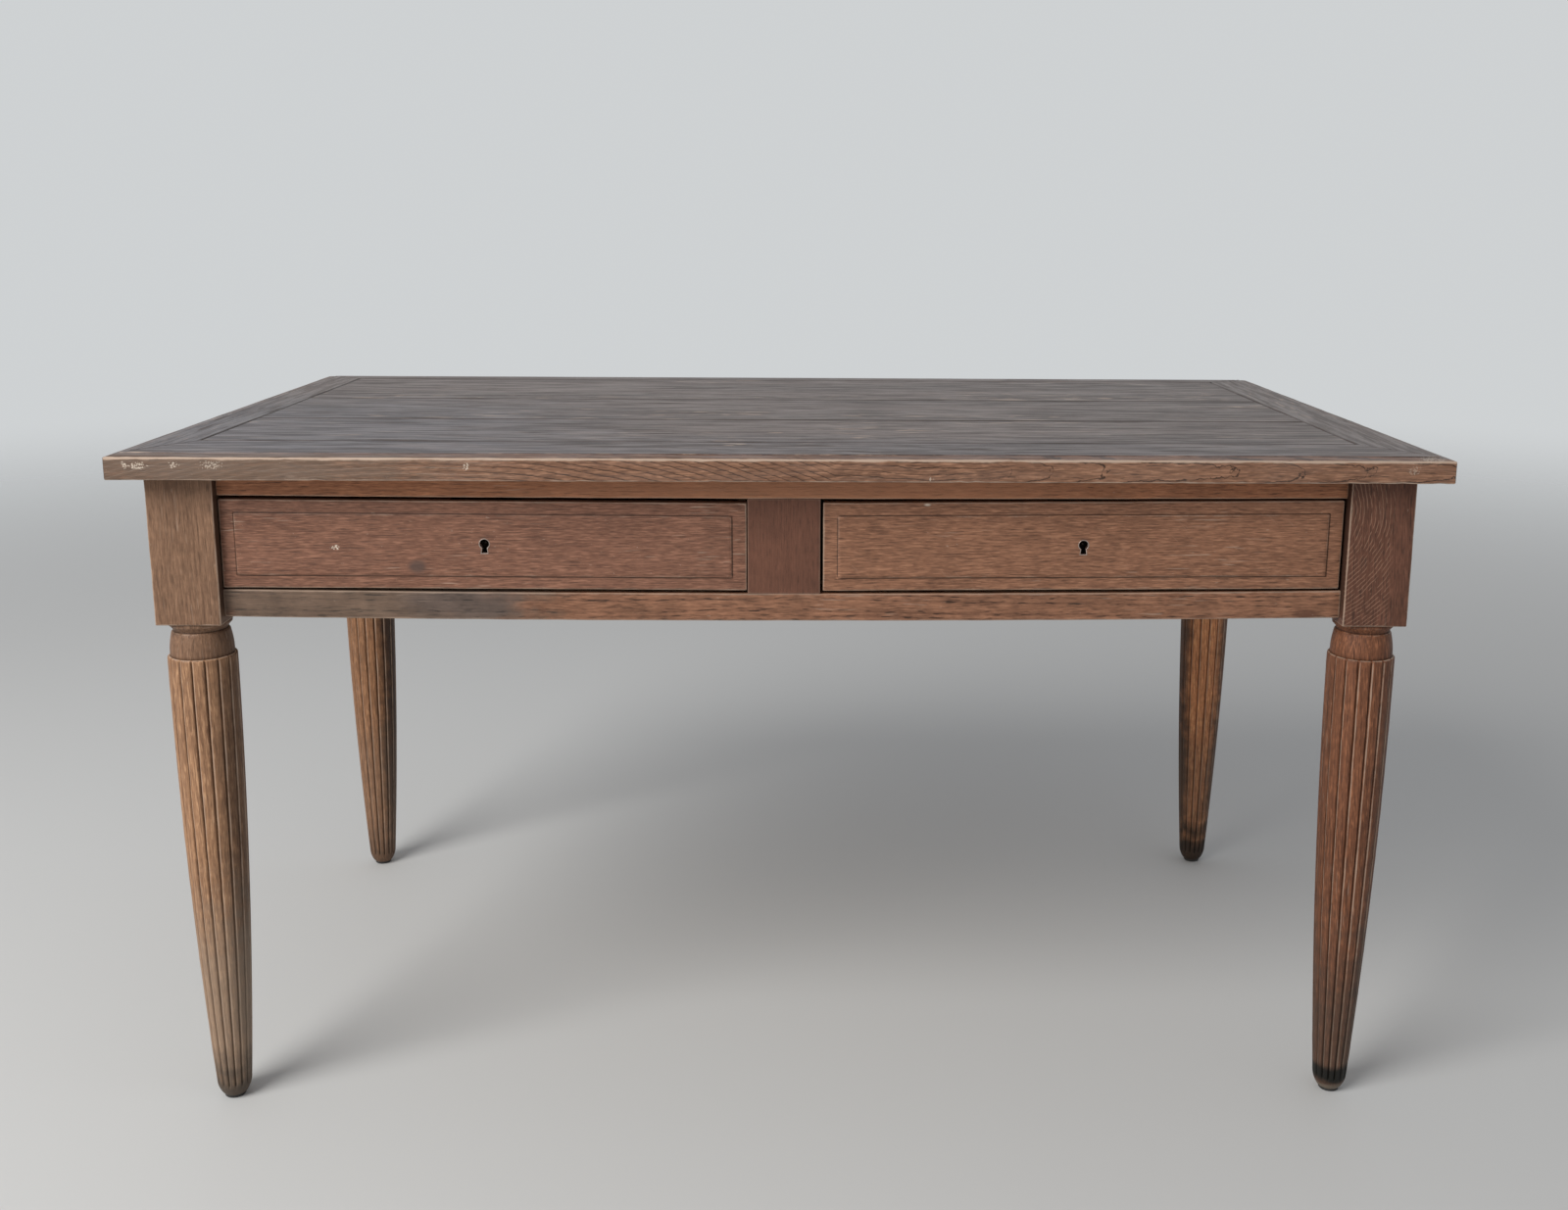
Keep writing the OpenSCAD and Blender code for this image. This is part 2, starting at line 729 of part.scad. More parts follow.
module centre_guide() {
    color(pine)
        span_box([stile_x0, rail_y + stile_t, floor_z], [stile_x1, apron_in_y, floor_z + guide_h]);
}

module centre_kicker() {
    color(pine) difference() {
        union() {
            span_box([stile_x0 - runner_ledge, rail_back_y, ceiling_z],
                [stile_x1 + runner_ledge, apron_in_y, slab_z]);
            centre_stubs(kicker_stub_z);
        }
        top_screw_holes();
    }
}

// A runner goes round the front leg block and stops at the back one
module runner(s) {
    color(pine) side(s) {
        span_box([block_in_x - runner_ledge, -block_in_y, floor_z - runner_t],
            [apron_in_x, block_in_y, floor_z]);
        span_box([block_in_x - runner_ledge, rail_back_y, floor_z - runner_t],
            [block_in_x, -block_in_y, floor_z]);
        right_half() {
            runner_stubs();
            runner_front_stubs();
        }
    }
}
module left_runner() { runner(-1); }
module right_runner() { runner(1); }

module guide(s) {
    color(pine) side(s)
        span_box([block_in_x, -block_in_y, floor_z], [apron_in_x, block_in_y, floor_z + guide_h]);
}
module left_guide() { guide(-1); }
module right_guide() { guide(1); }

module kicker(s) {
    color(pine) difference() {
        side(s) span_box([block_in_x - runner_ledge, -block_in_y, ceiling_z],
            [apron_in_x, block_in_y, slab_z]);
        top_screw_holes();
    }
}
module left_kicker() { kicker(-1); }
module right_kicker() { kicker(1); }

module drawer_stops() {
    y = front_back_y + stop_gap;
    color(pine) for (d = [LEFT, RIGHT], s = stop_place_shares)
        translate([d[0] + (d[1] - d[0]) * s, 0, 0])
            span_box([-stop_w / 2, y, floor_z], [stop_w / 2, y + stop_d, floor_z + stop_h]);
}

module top_screws() {
    color(steel) {
        top_screws_at(rail_screws, ceiling_z);
        top_screws_at(kicker_screws, ceiling_z);
    }
}

module top_buttons() {
    color(pine) difference() {
        for (s = button_place_shares) translate([s * block_in_x, 0, 0]) {
            span_box([-button_w / 2, button_y - button_l, slab_z - button_t],
                [button_w / 2, button_y, slab_z]);
            span_box([-button_w / 2, button_y - over, slab_z - (button_t + tenon_t) / 2],
                [button_w / 2, button_y + button_tongue_l, slab_z - (button_t - tenon_t) / 2]);
        }
        top_screw_holes();
    }
}

module button_screws() {
    color(steel) top_screws_at(button_screws, slab_z - button_t);
}

// Pins of the dovetails between a height range, from their root at one place to their end
module dovetail_pins(x0, x1, root_y, end_y, z0, z1, play = 0) {
    half = pin_w / 2 - play;
    for (i = [0:dovetail_count]) {
        z = z0 + (z1 - z0) * i / dovetail_count;
        along_x(x0, x1) polygon([
            [root_y, z - half - pin_flare], [end_y, z - half],
            [end_y, z + half], [root_y, z + half + pin_flare]]);
    }
}

// Drawer side that stands between two places, with play where it is a socket
module drawer_side_body(x0, x1, play = 0) {
    tail_y = rail_y + dovetail_lap;
    difference() {
        span_box([x0 - play, tail_y - play, side_z0 - play],
            [x1 + play, drawer_end_y + play, side_z1 + play]);
        dovetail_pins(x0 - over, x1 + over, front_back_y + over, tail_y - over,
            side_z0, side_z1 + side_drop, play);
        dovetail_pins(x0 - over, x1 + over, back_front_y - over, drawer_end_y + over,
            back_z0, back_z1 + pin_w, play);
    }
}

module drawer_bottom_body(d, play = 0) {
    inset = drawer_side_t - bottom_groove;
    span_box([d[0] + inset - play, front_back_y - bottom_groove - play, bottom_z - play],
        [d[1] - inset + play, drawer_end_y, bottom_z + drawer_bottom_t + play]);
}

module drawer_side(d, left) {
    x0 = left ? d[0] : d[1] - drawer_side_t;
    color(pine) difference() {
        drawer_side_body(x0, x0 + drawer_side_t);
        drawer_bottom_body(d, joint_play);
    }
}

module keyhole_outline(wall = 0) {
    d = keyhole_d - 2 * wall;
    w = keyhole_slot_w - 2 * wall;
    circle(d = d);
    translate([-w / 2, keyhole_d / 2 - keyhole_h + wall]) square([w, keyhole_h - keyhole_d / 2]);
}

module keyhole_cut(d, y0, y1, wall = 0) {
    translate([drawer_middle(d), 0, key_z]) along_y(y0, y1) keyhole_outline(wall);
}

// Recess of the lock in the back and the top edge of a drawer front
module lock_recess(d) {
    translate([drawer_middle(d), 0, 0]) {
        span_box([-lock_case_w / 2 - joint_play, case_y - joint_play, front_z1 - lock_h - joint_play],
            [lock_case_w / 2 + joint_play, front_back_y + over, front_z1 + over]);
        span_box([-lock_plate_w / 2 - joint_play, plate_y - joint_play,
                front_z1 - lock_h - joint_play],
            [lock_plate_w / 2 + joint_play, front_back_y + over, front_z1 + over]);
        span_box([-lock_plate_w / 2 - joint_play, case_y - joint_play,
                front_z1 - lock_plate_t - joint_play],
            [lock_plate_w / 2 + joint_play, front_back_y + over, front_z1 + over]);
    }
}

module lock_screws_of(d, play = 0) {
    x = (lock_plate_w + lock_case_w) / 4;
    translate([drawer_middle(d), front_back_y, front_z1 - lock_h])
        for (sx = [-1, 1], s = lock_screw_shares)
            translate([sx * x, 0, lock_h * s]) rotate([90, 0, 0])
                screw(lock_screw_d, lock_screw_l, lock_screw_head, play);
}

// Section of a drawer front whose border falls away from its field, as depth against breadth
function border_section(a, b, border) = [
    [a, front_back_y], [a, rail_y], [a + border, rail_y - border_fall],
    [b - border, rail_y - border_fall], [b, rail_y], [b, front_back_y]];

module drawer_front_body(d) {
    intersection() {
        along_x(d[0], d[1]) polygon([
            for (p = border_section(front_z0, front_z1, field_border)) [p[1], p[0]]]);
        translate([0, 0, front_z0]) linear_extrude(front_z1 - front_z0)
            polygon(border_section(d[0], d[1], field_end_border));
    }
    span_box([d[0] + field_end_border, field_y, front_z0 + field_border],
        [d[1] - field_end_border, front_back_y, front_z1 - field_border]);
}

module drawer_front(d) {
    color(oak) difference() {
        union() drawer_front_body(d);
        drawer_side_body(d[0] - over, d[0] + drawer_side_t, joint_play);
        drawer_side_body(d[1] - drawer_side_t, d[1] + over, joint_play);
        drawer_bottom_body(d, joint_play);
        lock_recess(d);
        lock_screws_of(d, joint_play);
        keyhole_cut(d, field_y - over, front_back_y);
    }
}

module drawer_back(d) {
    color(pine) difference() {
        span_box([d[0], back_front_y, back_z0 + joint_play], [d[1], drawer_end_y, back_z1]);
        drawer_side_body(d[0] - over, d[0] + drawer_side_t, joint_play);
        drawer_side_body(d[1] - drawer_side_t, d[1] + over, joint_play);
        drawer_nails_of(d, joint_play);
    }
}

module drawer_bottom(d) {
    color(pine) difference() {
        drawer_bottom_body(d);
        drawer_nails_of(d, joint_play);
    }
}

module drawer_nails_of(d, play = 0) {
    for (s = nail_place_shares)
        translate([d[0] + (d[1] - d[0]) * s, drawer_end_y - drawer_back_t / 2, bottom_z])
            screw(nail_d, nail_l, nail_d * 2, play);
}

// A steel box that is closed by its plate, with a slot for the bolt in its top
module lock_case(d) {
    half = lock_case_w / 2;
    z0 = front_z1 - lock_h;
    color(steel) difference() {
        translate([drawer_middle(d), 0, 0]) {
            span_box([-half, case_y, z0], [half, plate_y, front_z1]);
            span_box([-lock_plate_w / 2, plate_y, z0], [lock_plate_w / 2, front_back_y, front_z1]);
            span_box([-lock_plate_w / 2, case_y, front_z1 - lock_plate_t],
                [lock_plate_w / 2, front_back_y, front_z1]);
        }
        translate([drawer_middle(d), 0, 0]) {
            span_box([lock_wall - half, case_y + lock_wall, z0 + lock_wall],
                [half - lock_wall, plate_y, front_z1 - lock_plate_t]);
            span_box([-bolt_w / 2 - bolt_play, bolt_y - bolt_t / 2 - bolt_play,
                    front_z1 - lock_plate_t - over],
                [bolt_w / 2 + bolt_play, bolt_y + bolt_t / 2 + bolt_play, front_z1 + over]);
        }
        keyhole_cut(d, case_y - over, plate_y);
        lock_screws_of(d, joint_play);
    }
}

module lock_bolt(d) {
    color(steel) translate([drawer_middle(d), bolt_y, 0])
        span_box([-bolt_w / 2, -bolt_t / 2, front_z1 - bolt_l], [bolt_w / 2, bolt_t / 2, front_z1]);
}

module key_pin(d) {
    color(steel) translate([drawer_middle(d), plate_y, key_z]) rotate([90, 0, 0])
        rotate_extrude() polygon([[0, 0], [key_pin_d / 2, 0],
            [key_pin_d / 2, key_pin_l - key_pin_d / 4], [key_pin_d / 4, key_pin_l], [0, key_pin_l]]);
}

module keyhole_liner(d) {
    color(brass) difference() {
        keyhole_cut(d, field_y - liner_proud, field_y + liner_depth, joint_play);
        keyhole_cut(d, field_y - over, field_y + liner_depth + over, liner_wall);
    }
}

module left_drawer_front() { drawer_front(LEFT); }
module left_drawer_left_side() { drawer_side(LEFT, true); }
module left_drawer_right_side() { drawer_side(LEFT, false); }
module left_drawer_back() { drawer_back(LEFT); }
module left_drawer_bottom() { drawer_bottom(LEFT); }
module left_drawer_nails() { color(steel) drawer_nails_of(LEFT); }
module left_lock_case() { lock_case(LEFT); }
module left_lock_bolt() { lock_bolt(LEFT); }
module left_key_pin() { key_pin(LEFT); }
module left_lock_screws() { color(steel) lock_screws_of(LEFT); }
module left_keyhole_liner() { keyhole_liner(LEFT); }
module right_drawer_front() { drawer_front(RIGHT); }
module right_drawer_left_side() { drawer_side(RIGHT, true); }
module right_drawer_right_side() { drawer_side(RIGHT, false); }
module right_drawer_back() { drawer_back(RIGHT); }
module right_drawer_bottom() { drawer_bottom(RIGHT); }
module right_drawer_nails() { color(steel) drawer_nails_of(RIGHT); }
module right_lock_case() { lock_case(RIGHT); }
module right_lock_bolt() { lock_bolt(RIGHT); }
module right_key_pin() { key_pin(RIGHT); }
module right_lock_screws() { color(steel) lock_screws_of(RIGHT); }
module right_keyhole_liner() { keyhole_liner(RIGHT); }

top_front_board();
top_back_board();
top_left_board();
top_right_board();
front_plank();
middle_plank();
back_plank();
mitre_splines();
front_left_leg();
front_right_leg();
back_left_leg();
back_right_leg();
front_left_glide();
front_right_glide();
back_left_glide();
back_right_glide();
upper_front_rail();
lower_front_rail();
centre_stile();
left_apron();
right_apron();
back_apron();
centre_bearer();
centre_guide();
centre_kicker();
left_runner();
right_runner();
left_guide();
right_guide();
left_kicker();
right_kicker();
drawer_stops();
top_screws();
top_buttons();
button_screws();
left_drawer_front();
left_drawer_left_side();
left_drawer_right_side();
left_drawer_back();
left_drawer_bottom();
left_drawer_nails();
left_lock_case();
left_lock_bolt();
left_key_pin();
left_lock_screws();
left_keyhole_liner();
right_drawer_front();
right_drawer_left_side();
right_drawer_right_side();
right_drawer_back();
right_drawer_bottom();
right_drawer_nails();
right_lock_case();
right_lock_bolt();
right_key_pin();
right_lock_screws();
right_keyhole_liner();
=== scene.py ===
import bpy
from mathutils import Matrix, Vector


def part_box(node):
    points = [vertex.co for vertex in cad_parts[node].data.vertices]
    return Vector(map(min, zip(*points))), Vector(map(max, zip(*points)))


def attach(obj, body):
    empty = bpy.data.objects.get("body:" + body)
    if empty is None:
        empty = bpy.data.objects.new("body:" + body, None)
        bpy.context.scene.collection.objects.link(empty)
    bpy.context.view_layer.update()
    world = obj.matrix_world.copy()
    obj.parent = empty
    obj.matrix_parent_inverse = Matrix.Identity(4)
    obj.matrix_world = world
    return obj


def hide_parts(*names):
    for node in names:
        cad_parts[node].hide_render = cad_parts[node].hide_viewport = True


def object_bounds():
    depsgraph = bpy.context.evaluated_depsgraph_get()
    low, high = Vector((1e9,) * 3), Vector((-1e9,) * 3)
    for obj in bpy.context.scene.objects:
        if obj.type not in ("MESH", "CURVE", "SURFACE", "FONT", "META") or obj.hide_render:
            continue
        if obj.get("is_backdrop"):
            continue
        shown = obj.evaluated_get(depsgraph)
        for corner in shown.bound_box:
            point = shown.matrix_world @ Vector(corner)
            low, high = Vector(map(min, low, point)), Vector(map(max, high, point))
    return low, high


bl_info = {
    "name": "Oak Table",
    "version": (1, 0, 0),
    "blender": (4, 5, 0),
    "location": "View3D > Sidebar > Oak Table",
    "description": "Dresses the oak table in worn timber, tarnished metal and studio light",
    "category": "Object",
}

import inspect
import math

import bmesh
import bpy
from bpy.props import FloatProperty, FloatVectorProperty, IntProperty, PointerProperty
from mathutils import Euler, Matrix, Vector, noise

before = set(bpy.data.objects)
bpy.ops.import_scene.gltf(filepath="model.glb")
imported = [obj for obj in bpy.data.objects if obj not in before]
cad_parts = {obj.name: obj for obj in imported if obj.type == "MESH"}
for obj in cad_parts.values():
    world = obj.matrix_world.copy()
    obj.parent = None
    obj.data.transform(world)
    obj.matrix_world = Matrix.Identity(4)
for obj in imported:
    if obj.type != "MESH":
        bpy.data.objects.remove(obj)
cad_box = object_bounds()

PANEL_TAB = "Oak Table"
WELD = 1e-6
WEAR = "wear"
# This layer holds painted shade as well as dirt: it darkens joints, grooves, creases and angles
# where shade falls
GRIME = "grime"
# Sensor width that the lens is given for, and the size of the photograph's frame
SENSOR_MM = 36.0
FRAME_W = 1600
FRAME_H = 1235
# The noise takes its offsets from the clock unless it gets a seed
NOISE_SEED = 7
noise.seed_set(NOISE_SEED)


def number(name, description, default, **more):
    return FloatProperty(name=name, description=description, default=default, **more)


def length(name, description, default):
    return number(name, description, default, unit="LENGTH")


def share(name, description, default):
    return number(name, description, default, subtype="FACTOR")


def angle(name, description, default):
    return number(name, description, default, subtype="ANGLE")


def colour(name, description, default):
    return FloatVectorProperty(
        name=name, description=description, default=default, subtype="COLOR", size=3)


class TopSettings(bpy.types.PropertyGroup):
    rim_width: length("Rim Width", "Width of the moulded band round the rim", 0.017)
    rim_step: length("Rim Step", "Step down at the inner side of the rim band", 0.001)
    rim_fall: length("Rim Fall", "Fall of the rim band to the arris", 0.002)
    arris: length("Arris", "Radius to which the edges are worn", 0.0012)
    foot_arris: length("Lower Arris", "Radius of the lower edge of the top", 0.0016)
    joint_chamfer: length("Joint Chamfer", "Chamfer at each side of a joint", 0.0013)
    joint_gap: length("Joint Gap", "Half of the open gap between two boards", 0.0007)
    warp: length("Warp", "How far the boards are out of flat", 0.0003)
    nick: length("Nick", "Depth of the dents in the front edge", 0.0009)
    nick_count: IntProperty(name="Nicks", description="Dents in the front edge", default=26)


class LegSettings(bpy.types.PropertyGroup):
    block_width: length("Block Width", "Width of the square block", 0.070)
    block_drop: length("Block Drop", "Reach of the block below the lower rail", 0.007)
    arris: length("Arris", "Radius of the edges of the block", 0.0012)
    collar_height: length("Collar Height", "Height of the collar under the block", 0.011)
    collar_diameter: length("Collar", "Diameter of the collar", 0.066)
    groove_diameter: length("Groove", "Diameter of the groove under the collar", 0.057)
    neck_height: length("Neck Height", "Height of the bulb neck", 0.028)
    neck_crown: length("Neck Crown", "Diameter of the bulb neck at its crown", 0.0598)
    neck_diameter: length("Neck", "Diameter of the bulb neck at its foot", 0.0664)
    shaft_diameter: length("Shaft", "Largest diameter of the reeded shaft", 0.072)
    ankle_diameter: length("Ankle", "Diameter where the foot starts", 0.038)
    foot_height: length("Foot Height", "Height of the rounded foot", 0.016)
    foot_diameter: length("Foot", "Diameter of the underside of the foot", 0.025)
    shoulder: length("Shoulder", "Radius of the rounded rim of the shaft", 0.0024)
    groove_depth: length("Stave Groove", "Depth of the grooves between the staves", 0.0024)
    groove_width: length("Groove Width", "Width of the grooves between the staves", 0.0032)
    # One side of each groove is paler than the other: wear, and a painted highlight on one side
    shade_share: share("Far Side", "Wear of the far side of a groove", 0.35)
    staves: IntProperty(name="Staves", description="Staves round a leg", default=16)


class FrontSettings(bpy.types.PropertyGroup):
    arris: length("Arris", "Radius of the edges of rails and aprons", 0.0009)
    stile_arris: length("Stile Arris", "Radius of the edges of the centre stile", 0.0005)
    upper_sag: length("Upper Sag", "Sag of the upper rail in its middle", 0.0020)
    lower_sag: length("Lower Sag", "Sag of the lower rail in its middle", 0.0040)
    drawer_arris: length("Drawer Arris", "Radius of the edges of the drawer fronts", 0.0011)
    field_border: length("Border", "Border above and below the field", 0.014)
    end_border: length("End Border", "Border at the ends of the field", 0.0155)
    field_rise: length("Field Rise", "Rise of the field on a drawer front", 0.0015)
    field_ledge: length("Field Ledge", "How far the sides of the field slope in", 0.0008)
    border_fall: length("Border Fall", "Fall of the border to its edges", 0.0007)
    bolt_rise: length("Bolt Rise", "Height that the bolt of a lock rises", 0.008)
    socket_room: length("Socket Room", "Room round a raised bolt in the upper rail", 0.001)
    keyhole_diameter: length("Keyhole", "Diameter of the round of a keyhole", 0.012)
    keyhole_slot: length("Keyhole Slot", "Width of the slot of a keyhole", 0.007)
    keyhole_height: length("Keyhole Height", "Height of a keyhole", 0.017)
    keyhole_flare: length("Keyhole Flare", "How much the slot widens to its foot", 0.0008)
    liner_wall: length("Liner Wall", "Wall of the metal liner in a keyhole", 0.001)
    liner_lip: length("Liner Lip", "Rounding of the front of the liner", 0.0003)


class FinishSettings(bpy.types.PropertyGroup):
    # Painted sheen: a cool tint standing in for the sky's reflection on the waxed top
    bloom: colour("Bloom", "Cool bloom of old wax on the top", (0.068, 0.076, 0.100))
    ray: colour("Rays", "Medullary rays that show on the right post", (0.330, 0.185, 0.120))
    # Painted shade: a dark tone laid on the sides of the leg shafts, where they turn from the
    # light
    old_polish: colour(
        "Old Polish", "Dark polish left on the sides of the legs", (0.034, 0.017, 0.010))
    # The pore colour is also the colour of the painted shade in joints, grooves, creases and
    # angles
    pore: colour("Pores", "Open pores and dirt in the wood", (0.035, 0.018, 0.012))
    bare: colour("Bare Wood", "Wood that is rubbed bare at the edges", (0.47, 0.345, 0.26))
    chip: colour("Chips", "Fresh chips in the wood", (0.62, 0.52, 0.42))
    grey: colour("Grey", "Wood that the weather has greyed", (0.126, 0.088, 0.063))
    steel: colour("Steel", "Dull steel", (0.30, 0.29, 0.27))
    rust: colour("Rust", "Rust on the steel", (0.16, 0.075, 0.035))
    black_steel: colour("Black Steel", "Blackened steel inside the locks", (0.030, 0.026, 0.023))
    liner: colour("Liner", "Rubbed metal of the keyhole liners", (0.44, 0.34, 0.29))
    nylon: colour("Nylon", "Glides under the feet", (0.018, 0.017, 0.016))


# Where each wood is, with its light tone and its dark tone
WOODS = {
    "top": ("the top", (0.129, 0.095, 0.084), (0.047, 0.032, 0.028)),
    "rim": ("the edges of the top", (0.251, 0.126, 0.074), (0.118, 0.055, 0.031)),
    "rose": ("the left drawer", (0.240, 0.112, 0.070), (0.110, 0.047, 0.029)),
    "amber": ("the right drawer", (0.290, 0.137, 0.078), (0.126, 0.055, 0.031)),
    # The upper rail's tones are painted light: raised to make up for the shadow of the top's
    # overhang
    "russet": ("the upper rail", (0.429, 0.176, 0.084), (0.209, 0.085, 0.041)),
    "post": ("the left posts", (0.245, 0.136, 0.080), (0.110, 0.055, 0.030)),
    "umber": ("the right posts", (0.153, 0.064, 0.039), (0.073, 0.030, 0.018)),
    "tan": ("the front left shaft", (0.382, 0.205, 0.109), (0.153, 0.075, 0.039)),
    "hazel": ("the back left shaft", (0.317, 0.153, 0.074), (0.115, 0.054, 0.026)),
    "shaft": ("the front right shaft", (0.222, 0.085, 0.040), (0.075, 0.027, 0.013)),
    # The back right shaft's tones are painted light: lifted above its wood to make up for the
    # shadow that the top casts on this leg
    "ember": ("the back right shaft", (0.706, 0.296, 0.126), (0.201, 0.078, 0.036)),
    "inner": ("the inside", (0.46, 0.32, 0.19), (0.26, 0.16, 0.085)),
}
for wood_name, (where_used, *wood_tones) in WOODS.items():
    for shade, wood_tone in zip(("light", "dark"), wood_tones):
        FinishSettings.__annotations__[f"{wood_name}_{shade}"] = colour(
            f"{wood_name} {shade}".title(), f"{shade.title()} wood of {where_used}", wood_tone)


class StageSettings(bpy.types.PropertyGroup):
    lens_pixels: number("Lens", "Focal length in pixels of the photograph", 1627.5)
    centre_x: number("Centre X", "Optical centre, in pixels from the left", 853.3)
    centre_y: number("Centre Y", "Optical centre, in pixels from the top", 546.2)
    place: FloatVectorProperty(
        name="Place", description="Place of the camera", default=(0.0126, -2.0301, 1.0078),
        subtype="TRANSLATION", size=3)
    yaw: angle("Yaw", "Turn of the view to the right", 0.02412)
    pitch: angle("Pitch", "Tilt of the view downwards", 0.20176)
    roll: angle("Roll", "Roll of the camera", -0.00715)
    floor: colour("Floor", "Colour of the floor", (0.60, 0.60, 0.59))
    backdrop: colour("Backdrop", "Colour behind the table", (0.62, 0.64, 0.65))
    floor_radius: length("Floor Radius", "Where the floor fades into the backdrop", 7.0)
    sky_level: share("Sky", "Level of the soft light from all round", 0.42)
    lamp_power: number("Lamp", "Power of the soft lamp at the upper left", 166.0)


def settings():
    return bpy.context.scene.oak_table


class TableSettings(bpy.types.PropertyGroup):
    top: PointerProperty(type=TopSettings)
    leg: PointerProperty(type=LegSettings)
    front: PointerProperty(type=FrontSettings)
    finish: PointerProperty(type=FinishSettings)
    stage: PointerProperty(type=StageSettings)


# How far the wear reaches from an arris, and how strong the painted shade and dirt in a joint is
WEAR_REACH = 0.0028
JOINT_DIRT = 0.9
# How far the most worn points drift, and over what distance the drift changes
DRIFT = 0.0005
BAR_DRIFT = 0.0004
STILE_DRIFT = 0.0002
DRIFT_PITCH = 0.03
BLOCK_DRIFT_PITCH = 0.04
SHAFT_DRIFT_PITCH = 0.02
# How far apart timbers are cut, so that they can bend: long ones, short ones and the front edge
LONG_PITCH = 0.03
SHORT_PITCH = 0.02
EDGE_PITCH = 0.008
# Angle from which an edge is drawn sharp, and the distance at which points of a solid merge
SHARP_ANGLE = math.radians(50)
MERGE = 1e-5

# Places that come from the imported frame
SLAB_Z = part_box("top_front_board")[0].z
TABLE_LOW, TABLE_HIGH = cad_box
TOP_Z = TABLE_HIGH[2]
FIELD_LOW = Vector((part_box("top_left_board")[1].x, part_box("top_front_board")[1].y, SLAB_Z))
FIELD_HIGH = Vector((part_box("top_right_board")[0].x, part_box("top_back_board")[0].y, TOP_Z))
JOINTS_Y = (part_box("front_plank")[1].y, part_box("middle_plank")[1].y)
BLOCK_IN_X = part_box("right_guide")[0].x
BLOCK_IN_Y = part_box("right_guide")[1].y
RAIL_Y, APRON_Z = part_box("lower_front_rail")[0].yz
FLOOR_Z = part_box("lower_front_rail")[1].z
CEILING_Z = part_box("upper_front_rail")[0].z
GLIDE_TOP_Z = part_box("front_left_leg")[0].z


def smooth(value, low, high):
    t = min(max((value - low) / (high - low), 0.0), 1.0)
    return t * t * (3 - 2 * t)


def blend(a, b, t):
    return a + (b - a) * t


def shaded(tone, level):
    return tuple(c * level for c in tone)


# Meshes

def timber_mesh():
    """A bmesh with the layers that say how far each vertex is worn and how much painted shade and
    dirt it has
    """
    bm = bmesh.new()
    bm.verts.layers.float.new(WEAR)
    bm.verts.layers.float.new(GRIME)
    return bm


def link_object(name, data):
    made = bpy.data.objects.new(name, data)
    bpy.context.scene.collection.objects.link(made)
    return made


def link_mesh(name, bm):
    """Puts what a bmesh holds into the scene, and frees it"""
    mesh = bpy.data.meshes.new(name)
    bm.to_mesh(mesh)
    bm.free()
    return link_object(name, mesh)


def add_cube(bm, low, high):
    size = Matrix.Diagonal((*(high - low), 1.0))
    bmesh.ops.create_cube(bm, size=1.0, matrix=Matrix.Translation((low + high) / 2) @ size)


def slice_mesh(bm, place, normal, clear=False):
    """Cuts the whole mesh at a plane; returns what lies on the cut"""
    return bmesh.ops.bisect_plane(
        bm, geom=bm.verts[:] + bm.edges[:] + bm.faces[:], dist=WELD, plane_co=place,
        plane_no=normal, clear_outer=clear)["geom_cut"]


def cut_across(bm, axis, places):
    """Cuts the whole mesh square to an axis at each place"""
    normal = Vector([float(i == axis) for i in range(3)])
    for place in places:
        slice_mesh(bm, normal * place, normal)


def round_edges(bm, edges, radius, segments):
    bmesh.ops.bevel(
        bm, geom=edges, offset=radius, offset_type="OFFSET", segments=segments, profile=0.5,
        affect="EDGES", material=-1, clamp_overlap=True)


def grow(bm, faces, vec):
    """Extrudes faces and moves what grows; returns the vertices that moved"""
    grown = bmesh.ops.extrude_face_region(bm, geom=faces)["geom"]
    moved = [g for g in grown if isinstance(g, bmesh.types.BMVert)]
    bmesh.ops.translate(bm, verts=moved, vec=vec)
    return moved


def steps(low, high, pitch):
    """Even places between two ends, about a pitch apart"""
    count = max(int(round((high - low) / pitch)), 1)
    return [low + (high - low) * i / count for i in range(1, count)]


def quarter(count):
    """Angles that part a quarter turn evenly, with both of its ends"""
    return [math.pi / 2 * i / count for i in range(count + 1)]


def worn_box(bm, low, high, arris, reach, pitch, long_axis):
    """A box with rounded arrises, cut into lengths; returns its vertices"""
    before = set(bm.verts)
    add_cube(bm, low, high)
    edges = list({e for v in bm.verts if v not in before for e in v.link_edges})
    round_edges(bm, edges, arris, 3)
    size = high - low
    for axis in range(3):
        if size[axis] > 3 * reach:
            cut_across(bm, axis, (low[axis] + reach, high[axis] - reach))
    cut_across(bm, long_axis, steps(low[long_axis], high[long_axis], pitch))
    return [v for v in bm.verts if v not in before]


def box_wear(low, high, reach):
    """Wear of a box, full at its edges and gone at a reach from the nearest"""
    def wear_of(co):
        gaps = sorted(min(abs(co[i] - low[i]), abs(high[i] - co[i])) for i in range(3))
        return 1.0 - smooth(math.hypot(gaps[0], gaps[1]), 0.0, reach)

    return wear_of


def mark(bm, verts, wear_of, grime_of=None):
    """Stores how far each vertex is worn, and how much painted shade and dirt lies on it"""
    wear = bm.verts.layers.float[WEAR]
    grime = bm.verts.layers.float[GRIME]
    for v in verts:
        v[wear] = wear_of(v.co)
        v[grime] = grime_of(v.co) if grime_of else 0.0


def weather(bm, verts, amount=DRIFT, pitch=DRIFT_PITCH):
    """Moves worn vertices a little, so that no arris stays dead straight"""
    wear = bm.verts.layers.float[WEAR]
    for v in verts:
        drift = noise.noise_vector(v.co / pitch) + noise.noise_vector(v.co / pitch * 3) * 0.4
        v.co += drift * amount * v[wear]


